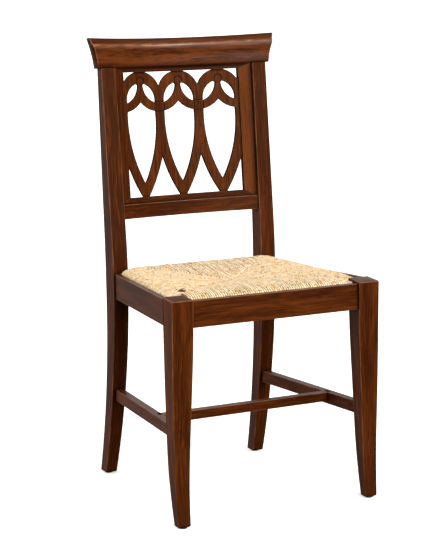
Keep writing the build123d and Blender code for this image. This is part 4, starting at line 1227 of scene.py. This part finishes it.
def cord_lobe_shape(name, pitch, radius, waver):
    """Cords of one lobe, each a tube carried along the lobe's section.

    Every cord runs from the diagonal over the roll and the edge and back underneath to the
    diagonal. It wavers by a sum of sines with phases of its own and dives at both ends.
    """
    lobe = LOBES[name]
    rng = np.random.default_rng(SEED + len(name))
    places = cord_places(name, pitch)
    count = len(places)
    line = lobe.section(radius)
    run = np.concatenate([[0], np.cumsum(np.linalg.norm(np.diff(line, axis=0), axis=-1))])
    stops, start, end = cord_stops(lobe, places, line, run)
    depth = np.interp(stops, run, line[:, 0])
    level = np.interp(stops, run, line[:, 1])
    way = unit(np.gradient(line, axis=0))
    out_d = np.interp(stops, run, way[:, 1])
    out_z = np.interp(stops, run, -way[:, 0])
    travel = stops - start[:, None]
    phase = rng.uniform(0, 2 * math.pi, (3, count, 1))
    sway = sum(np.sin(travel / wave + phase[i]) / (i + 1) for i, wave in enumerate(SWAY_WAVES))
    bob = sum(np.cos(travel / wave + phase[i]) / (i + 1) for i, wave in enumerate(BOB_WAVES))
    held = np.clip(depth / HELD_DEPTH, HELD_LEAST, 1)
    shift = waver * held * (0.5 * sway + rng.normal(0, SHIFT_SPREAD, (count, 1)))
    rise = waver * held * (0.3 * bob + rng.normal(0, RISE_SPREAD, (count, 1)))
    tail = end[:, None] - stops
    dive = START_DIVE[0] * np.exp(-travel / START_DIVE[1]) - END_DIVE[0] * np.exp(-tail / END_DIVE[1])
    level = level - dive - np.abs(rise)
    middle_plan = lobe.plan(places[:, None] + shift, depth)
    hollow = np.exp(-(((middle_plan - HOLLOW) / HOLLOW_SIZE) ** 2).sum(axis=-1))
    level = corner_fall(middle_plan, level, radius) - HOLLOW_DIP * hollow
    thick = radius * (1 + THICK_SPREAD * rng.normal(0, 1, (count, 1)) + THICK_SPREAD * bob)
    angle = np.linspace(0, 2 * math.pi, CORD_SIDES, endpoint=False)
    cosine, sine = np.cos(angle), np.sin(angle)
    wide = (CORD_WIDTH * pitch) * (thick / radius)
    place = (places[:, None] + shift)[..., None] + wide[..., None] * cosine
    ring_depth = depth[..., None] + thick[..., None] * out_d[..., None] * sine
    ring_level = level[..., None] + thick[..., None] * out_z[..., None] * sine
    points = seat_points(lobe.plan(place, ring_depth), ring_level)
    rings = points.shape[1]
    one = grid_faces(rings, CORD_SIDES, True)
    each = np.arange(count)[:, None, None] * rings * CORD_SIDES
    faces = (one[None] + each).reshape(-1, 4).tolist()
    first = np.arange(CORD_SIDES)
    caps = np.stack([first[::-1], first + (rings - 1) * CORD_SIDES])
    faces += (caps[None] + each).reshape(-1, CORD_SIDES).tolist()
    length = (stops * MM)[..., None] + rng.uniform(0, 1, (count, 1, 1))
    lay = np.stack([np.broadcast_to(part, points.shape[:3]) for part in (length, cosine, sine)], axis=-1)
    tint = np.broadcast_to(rng.uniform(0, 1, (count, 1, 1)), points.shape[:3])
    # Painted shade in the creases along the diagonals, joined with the hollow's shade
    crease_shade = (CORD_CREASE_SHADE[0] + CORD_CREASE_SHADE[1] * tint) * np.exp(-travel / CORD_CREASE_SHADE_REACH)[..., None]
    hollow = np.maximum(hollow[..., None], crease_shade)
    attributes = {"lay": lay.reshape(-1, 3), "tint": tint.reshape(-1), "hollow": hollow.reshape(-1)}
    return points.reshape(-1, 3), faces, attributes


def slack_cord_shape(radius):
    """One slack cord behind the hollow: a tube along a Bezier curve that rises off the rush by a sine."""
    t = np.linspace(0, 1, 25)
    plan = bezier(SLACK_ROUTE, t)
    line = seat_points(plan, rush_level(plan, radius) + SLACK_RISE * np.sin(math.pi * t) - SLACK_SINK)
    way = unit(np.gradient(line, axis=0))
    across = unit(np.cross(way, (0, 0, 1)))
    over = np.cross(across, way)
    angle = np.linspace(0, 2 * math.pi, CORD_SIDES, endpoint=False)
    cosine, sine = np.cos(angle)[None, :, None], np.sin(angle)[None, :, None]
    points = line[:, None] + radius * (cosine * across[:, None] + sine * over[:, None])
    rings = len(t)
    faces = grid_faces(rings, CORD_SIDES, True).tolist()
    faces += [list(range(CORD_SIDES))[::-1], list(range((rings - 1) * CORD_SIDES, rings * CORD_SIDES))]
    run = np.broadcast_to(SLACK_LENGTH * t[:, None, None], (rings, CORD_SIDES, 1))
    lay = np.concatenate([run, *(np.broadcast_to(part, run.shape) for part in (cosine, sine))], axis=-1)
    attributes = {"lay": lay.reshape(-1, 3), "tint": np.full(rings * CORD_SIDES, SLACK_TINT)}
    return points.reshape(-1, 3), faces, attributes


def stuffing_outline(inset):
    """Plan outline of the stuffing: the seat's, drawn in, notched for the front legs, evenly sampled."""
    shrink = 1 - inset / STUFFING_REACH
    corners = SEAT_APEX + (SEAT_CORNERS - SEAT_APEX) * shrink
    notch_x = LEG_INNER - SEAT_GAP - inset
    notch_y = LEG_REAR + SEAT_GAP + inset
    left_low, right_low, right_high, left_high = corners

    def side_x(y):
        share = (y - right_low[1]) / (right_high[1] - right_low[1])
        return right_low[0] + share * (right_high[0] - right_low[0])

    outline = np.array([
        (-notch_x, left_low[1]),
        (notch_x, right_low[1]),
        (notch_x, notch_y),
        (side_x(notch_y), notch_y),
        right_high,
        left_high,
        (-side_x(notch_y), notch_y),
        (-notch_x, notch_y),
        (-notch_x, left_low[1]),
    ])
    steps = np.concatenate([[0], np.cumsum(np.linalg.norm(np.diff(outline, axis=0), axis=-1))])
    at = np.unique(np.concatenate([np.linspace(0, steps[-1], OUTLINE_STEPS)[:-1], steps[:-1]]))
    return np.stack([np.interp(at, steps, outline[:, 0]), np.interp(at, steps, outline[:, 1])], axis=-1)


def rush_level(plan, inset):
    """Height of the rush at plan points, from the lobe whose edge is nearest by share of its depth."""
    depth = np.stack([(plan - lobe.start) @ lobe.inward for lobe in LOBES.values()])
    full = np.array([lobe.depth for lobe in LOBES.values()]).reshape(-1, *[1] * (plan.ndim - 1))
    nearest = (depth / full).argmin(axis=0)
    level = np.zeros(plan.shape[:-1])
    for index, lobe in enumerate(LOBES.values()):
        line = lobe.section(inset)[:WAIST_AT]
        read = np.interp(-depth[index], -line[:, 0], line[:, 1])
        level = np.where(nearest == index, read, level)
    return corner_fall(plan, level, inset)


def stuffing_shape(radius):
    """Stuffing under the cords: rays from the apex to the outline over the top, and back below."""
    rim = stuffing_outline(STUFFING_INSET * radius)
    out = np.concatenate([np.linspace(0.02, 0.8, 14), np.linspace(0.84, 1, 9)])[:, None, None]
    plan = SEAT_APEX + out * (rim - SEAT_APEX)
    top = np.maximum(rush_level(plan, STUFFING_SINK * radius), RUSH_LOW + STUFFING_LEAST)
    low = np.full(top.shape, RUSH_LOW + STUFFING_FLOOR * radius)
    rows = np.concatenate([seat_points(plan, top), seat_points(plan, low)[::-1]])
    rings, around = rows.shape[:2]
    faces = grid_faces(rings, around, True).tolist()
    faces += [list(range(around))[::-1], list(range((rings - 1) * around, rings * around))]
    return rows.reshape(-1, 3), faces, {}


# Operators


class ChairOperator:
    """Finishes that several steps share."""

    bl_options = {"REGISTER", "UNDO"}

    def stain(self, context):
        return material(stained_timber, "stained_timber", context.scene.chair_colours, PLAIN_BOARD)

    def dark_stain(self, context):
        return material(stained_timber, "stained_timber_dark", context.scene.chair_colours, DARK_BOARD)

    def level_stain(self, context):
        colours = context.scene.chair_colours
        return material(stained_timber, "stained_timber_level", colours, DARK_BOARD, LEVEL)


class CHAIR_OT_posts(ChairOperator, bpy.types.Operator):
    """Rear posts in stained timber"""

    bl_idname = "chair.posts"
    bl_label = "Rear posts"

    def execute(self, context):
        edge = context.scene.chair_sizes.leg_edge / MM
        for side, name in ((-1, "left"), (1, "right")):
            timber("post_" + name, rear_post_shape(side, edge), self.dark_stain(context), "rear_post_" + name)
        return {"FINISHED"}


class CHAIR_OT_legs(ChairOperator, bpy.types.Operator):
    """Front legs in stained timber"""

    bl_idname = "chair.legs"
    bl_label = "Front legs"

    def execute(self, context):
        edge = context.scene.chair_sizes.leg_edge / MM
        for side, name in ((-1, "left"), (1, "right")):
            timber("leg_" + name, front_leg_shape(side, edge), self.stain(context), "front_leg_" + name)
        return {"FINISHED"}


class CHAIR_OT_rails(ChairOperator, bpy.types.Operator):
    """Front and side seat rails; the rear rail keeps its solid"""

    bl_idname = "chair.rails"
    bl_label = "Seat rails"

    def execute(self, context):
        edge = context.scene.chair_sizes.rail_edge / MM
        timber("rail_front", front_rail_shape(edge), self.stain(context), "seat_rail_front")
        for side, name in ((-1, "left"), (1, "right")):
            timber("rail_" + name, side_rail_shape(side, edge), self.stain(context), "seat_rail_" + name)
        finish_nodes(self.level_stain(context), "seat_rail_rear")
        return {"FINISHED"}


class CHAIR_OT_stretchers(ChairOperator, bpy.types.Operator):
    """Side and cross stretchers"""

    bl_idname = "chair.stretchers"
    bl_label = "Stretchers"

    def execute(self, context):
        edge = context.scene.chair_sizes.rail_edge / MM
        for side, name in ((-1, "left"), (1, "right")):
            bar = side_stretcher_shape(side, edge)
            timber("stretcher_bar_" + name, bar, self.stain(context), "stretcher_" + name)
        timber("stretcher_bar_cross", cross_stretcher_shape(edge), self.stain(context), "stretcher_cross")
        return {"FINISHED"}


class CHAIR_OT_back_rails(ChairOperator, bpy.types.Operator):
    """Moulded crest and bowed lower rail of the back"""

    bl_idname = "chair.back_rails"
    bl_label = "Back rails"

    def execute(self, context):
        edge = context.scene.chair_sizes.rail_edge / MM
        colours = context.scene.chair_colours
        look = {"lift": CREST_BOARD, "figure": CREST_FIGURE, "polish": CREST_POLISH}
        crest = material(stained_timber, "stained_timber_crest", colours, **look)
        timber("crest_moulding", crest_shape(), crest, "crest_rail")
        timber("lower_rail_bow", lower_rail_shape(edge), self.dark_stain(context), "lower_back_rail")
        return {"FINISHED"}


class CHAIR_OT_fretwork(ChairOperator, bpy.types.Operator):
    """Finish of the pierced panel and its mitred frame"""

    bl_idname = "chair.fretwork"
    bl_label = "Fretwork"

    def execute(self, context):
        colours = context.scene.chair_colours
        fret = material(stained_timber, "stained_timber_fret", colours, FRET_BOARD, UPRIGHT, fret_stain_and_shadow)
        dark = material(stained_timber, "stained_timber_upright", colours, DARK_BOARD, UPRIGHT)
        pale = material(stained_timber, "stained_timber_pale", colours, PALE_BOARD, UPRIGHT)
        # The top member gets a darker board as painted shade, with a painted shadow strip under the crest
        shaded = material(stained_timber, "stained_timber_shaded", colours, SHADED_BOARD, LEVEL, crest_shadow_strip)
        finish_nodes(fret, "fretwork_panel")
        finish_nodes(dark, "fret_frame_left")
        finish_nodes(pale, "fret_frame_right")
        finish_nodes(self.level_stain(context), "fret_frame_bottom")
        finish_nodes(shaded, "fret_frame_top")
        return {"FINISHED"}


class CHAIR_OT_joinery(ChairOperator, bpy.types.Operator):
    """Finish of the blocks, bars, dowels, screws and glides"""

    bl_idname = "chair.joinery"
    bl_label = "Joinery"

    def execute(self, context):
        colours = context.scene.chair_colours
        level = material(plain_timber, "bare_hardwood", colours, LEVEL)
        deep = material(plain_timber, "bare_hardwood_deep", colours, FORE_AND_AFT)
        corners = [f"corner_block_{end}_{side}" for end in ("front", "rear") for side in ("left", "right")]
        finish_nodes(level, "seat_bar_front", "seat_bar_rear", "seat_cleat_rear", "back_dowels", *corners)
        finish_nodes(deep, "seat_bar_left", "seat_bar_right")
        finish_nodes(material(plated_steel, "plated_screws"), "corner_screws")
        glides = [f"glide_{end}_{side}" for end in ("front", "rear") for side in ("left", "right")]
        finish_nodes(material(moulded_brown, "glide_brown"), *glides)
        return {"FINISHED"}


class CHAIR_OT_rush(ChairOperator, bpy.types.Operator):
    """Woven rush: stuffing, four lobes of cords and one slack cord"""

    bl_idname = "chair.rush"
    bl_label = "Rush seat"

    def execute(self, context):
        sizes, colours = context.scene.chair_sizes, context.scene.chair_colours
        radius, pitch = sizes.cord_radius / MM, sizes.cord_pitch / MM
        shade = material(rush_shade, "rush_shade", colours)
        stuffing = add_piece("rush_stuffing", stuffing_shape(radius), "seat", shade)
        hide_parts("rush_weave")
        cord = material(rush_cord, "rush_cord", colours, colours.rush_pale, PALE_RUSH)
        # The side lobes take the darker copy, as painted shade
        shaded_side_cord = material(rush_cord, "rush_cord_side", colours, colours.rush_side_shaded, 0.0)
        for name, (spread, waver) in LOBE_WEAVE.items():
            finish = shaded_side_cord if name in ("left", "right") else cord
            shape = cord_lobe_shape(name, spread * pitch, radius, waver)
            add_piece("rush_" + name, shape, "seat", finish)
        add_piece("rush_slack_cord", slack_cord_shape(SLACK_SHARE * radius), "seat", cord)
        return {"FINISHED"}


class CHAIR_OT_stage(ChairOperator, bpy.types.Operator):
    """Pale floor, soft studio light and the camera of the photograph"""

    bl_idname = "chair.stage"
    bl_label = "Stage"

    def execute(self, context):
        scene = context.scene
        floor_mesh = bpy.data.meshes.new("floor")
        corners = [(x * FLOOR_REACH, y * FLOOR_REACH, 0) for x, y in ((-1, -1), (1, -1), (1, 1), (-1, 1))]
        floor_mesh.from_pydata(corners, [], [(0, 1, 2, 3)])
        floor_mesh.materials.append(material(pale_floor, "pale_floor", scene.chair_colours))
        floor = bpy.data.objects.new("floor", floor_mesh)
        scene.collection.objects.link(floor)
        floor.visible_glossy = False
        floor.visible_diffuse = False
        scene.world = studio_light("studio")
        camera = bpy.data.cameras.new("camera")
        camera.lens = CAMERA_LENS
        camera.clip_end = CAMERA_CLIP
        viewer = bpy.data.objects.new("camera", camera)
        place, aim = Vector(CAMERA_PLACE) * MM, Vector(CAMERA_AIM) * MM
        viewer.location = place
        viewer.rotation_mode = "QUATERNION"
        sight = (aim - place).to_track_quat("-Z", "Y")
        viewer.rotation_quaternion = sight @ Quaternion((0, 0, 1), CAMERA_ROLL)
        scene.collection.objects.link(viewer)
        scene.camera = viewer
        scene.view_settings.view_transform = "Standard"
        return {"FINISHED"}


class CHAIR_PT_pieces(bpy.types.Panel):
    """Lists the steps that dress the chair"""

    bl_idname = "CHAIR_PT_pieces"
    bl_label = "Rush seat chair"
    bl_space_type = "VIEW_3D"
    bl_region_type = "UI"
    bl_category = "Chair"

    def draw(self, context):
        for step in STEPS:
            self.layout.operator(step.bl_idname)
        for group in (context.scene.chair_sizes, context.scene.chair_colours):
            for key in group.__annotations__:
                self.layout.prop(group, key)


STEPS = (
    CHAIR_OT_posts,
    CHAIR_OT_legs,
    CHAIR_OT_rails,
    CHAIR_OT_stretchers,
    CHAIR_OT_back_rails,
    CHAIR_OT_fretwork,
    CHAIR_OT_joinery,
    CHAIR_OT_rush,
    CHAIR_OT_stage,
)
CLASSES = (ChairSizes, ChairColours, *STEPS, CHAIR_PT_pieces)


def register():
    for cls in CLASSES:
        bpy.utils.register_class(cls)
    bpy.types.Scene.chair_sizes = bpy.props.PointerProperty(type=ChairSizes)
    bpy.types.Scene.chair_colours = bpy.props.PointerProperty(type=ChairColours)


def unregister():
    del bpy.types.Scene.chair_colours
    del bpy.types.Scene.chair_sizes
    for cls in reversed(CLASSES):
        bpy.utils.unregister_class(cls)


def main():
    register()
    for step in STEPS:
        group, name = step.bl_idname.split(".")
        getattr(getattr(bpy.ops, group), name)()


if __name__ == "__main__":
    main()
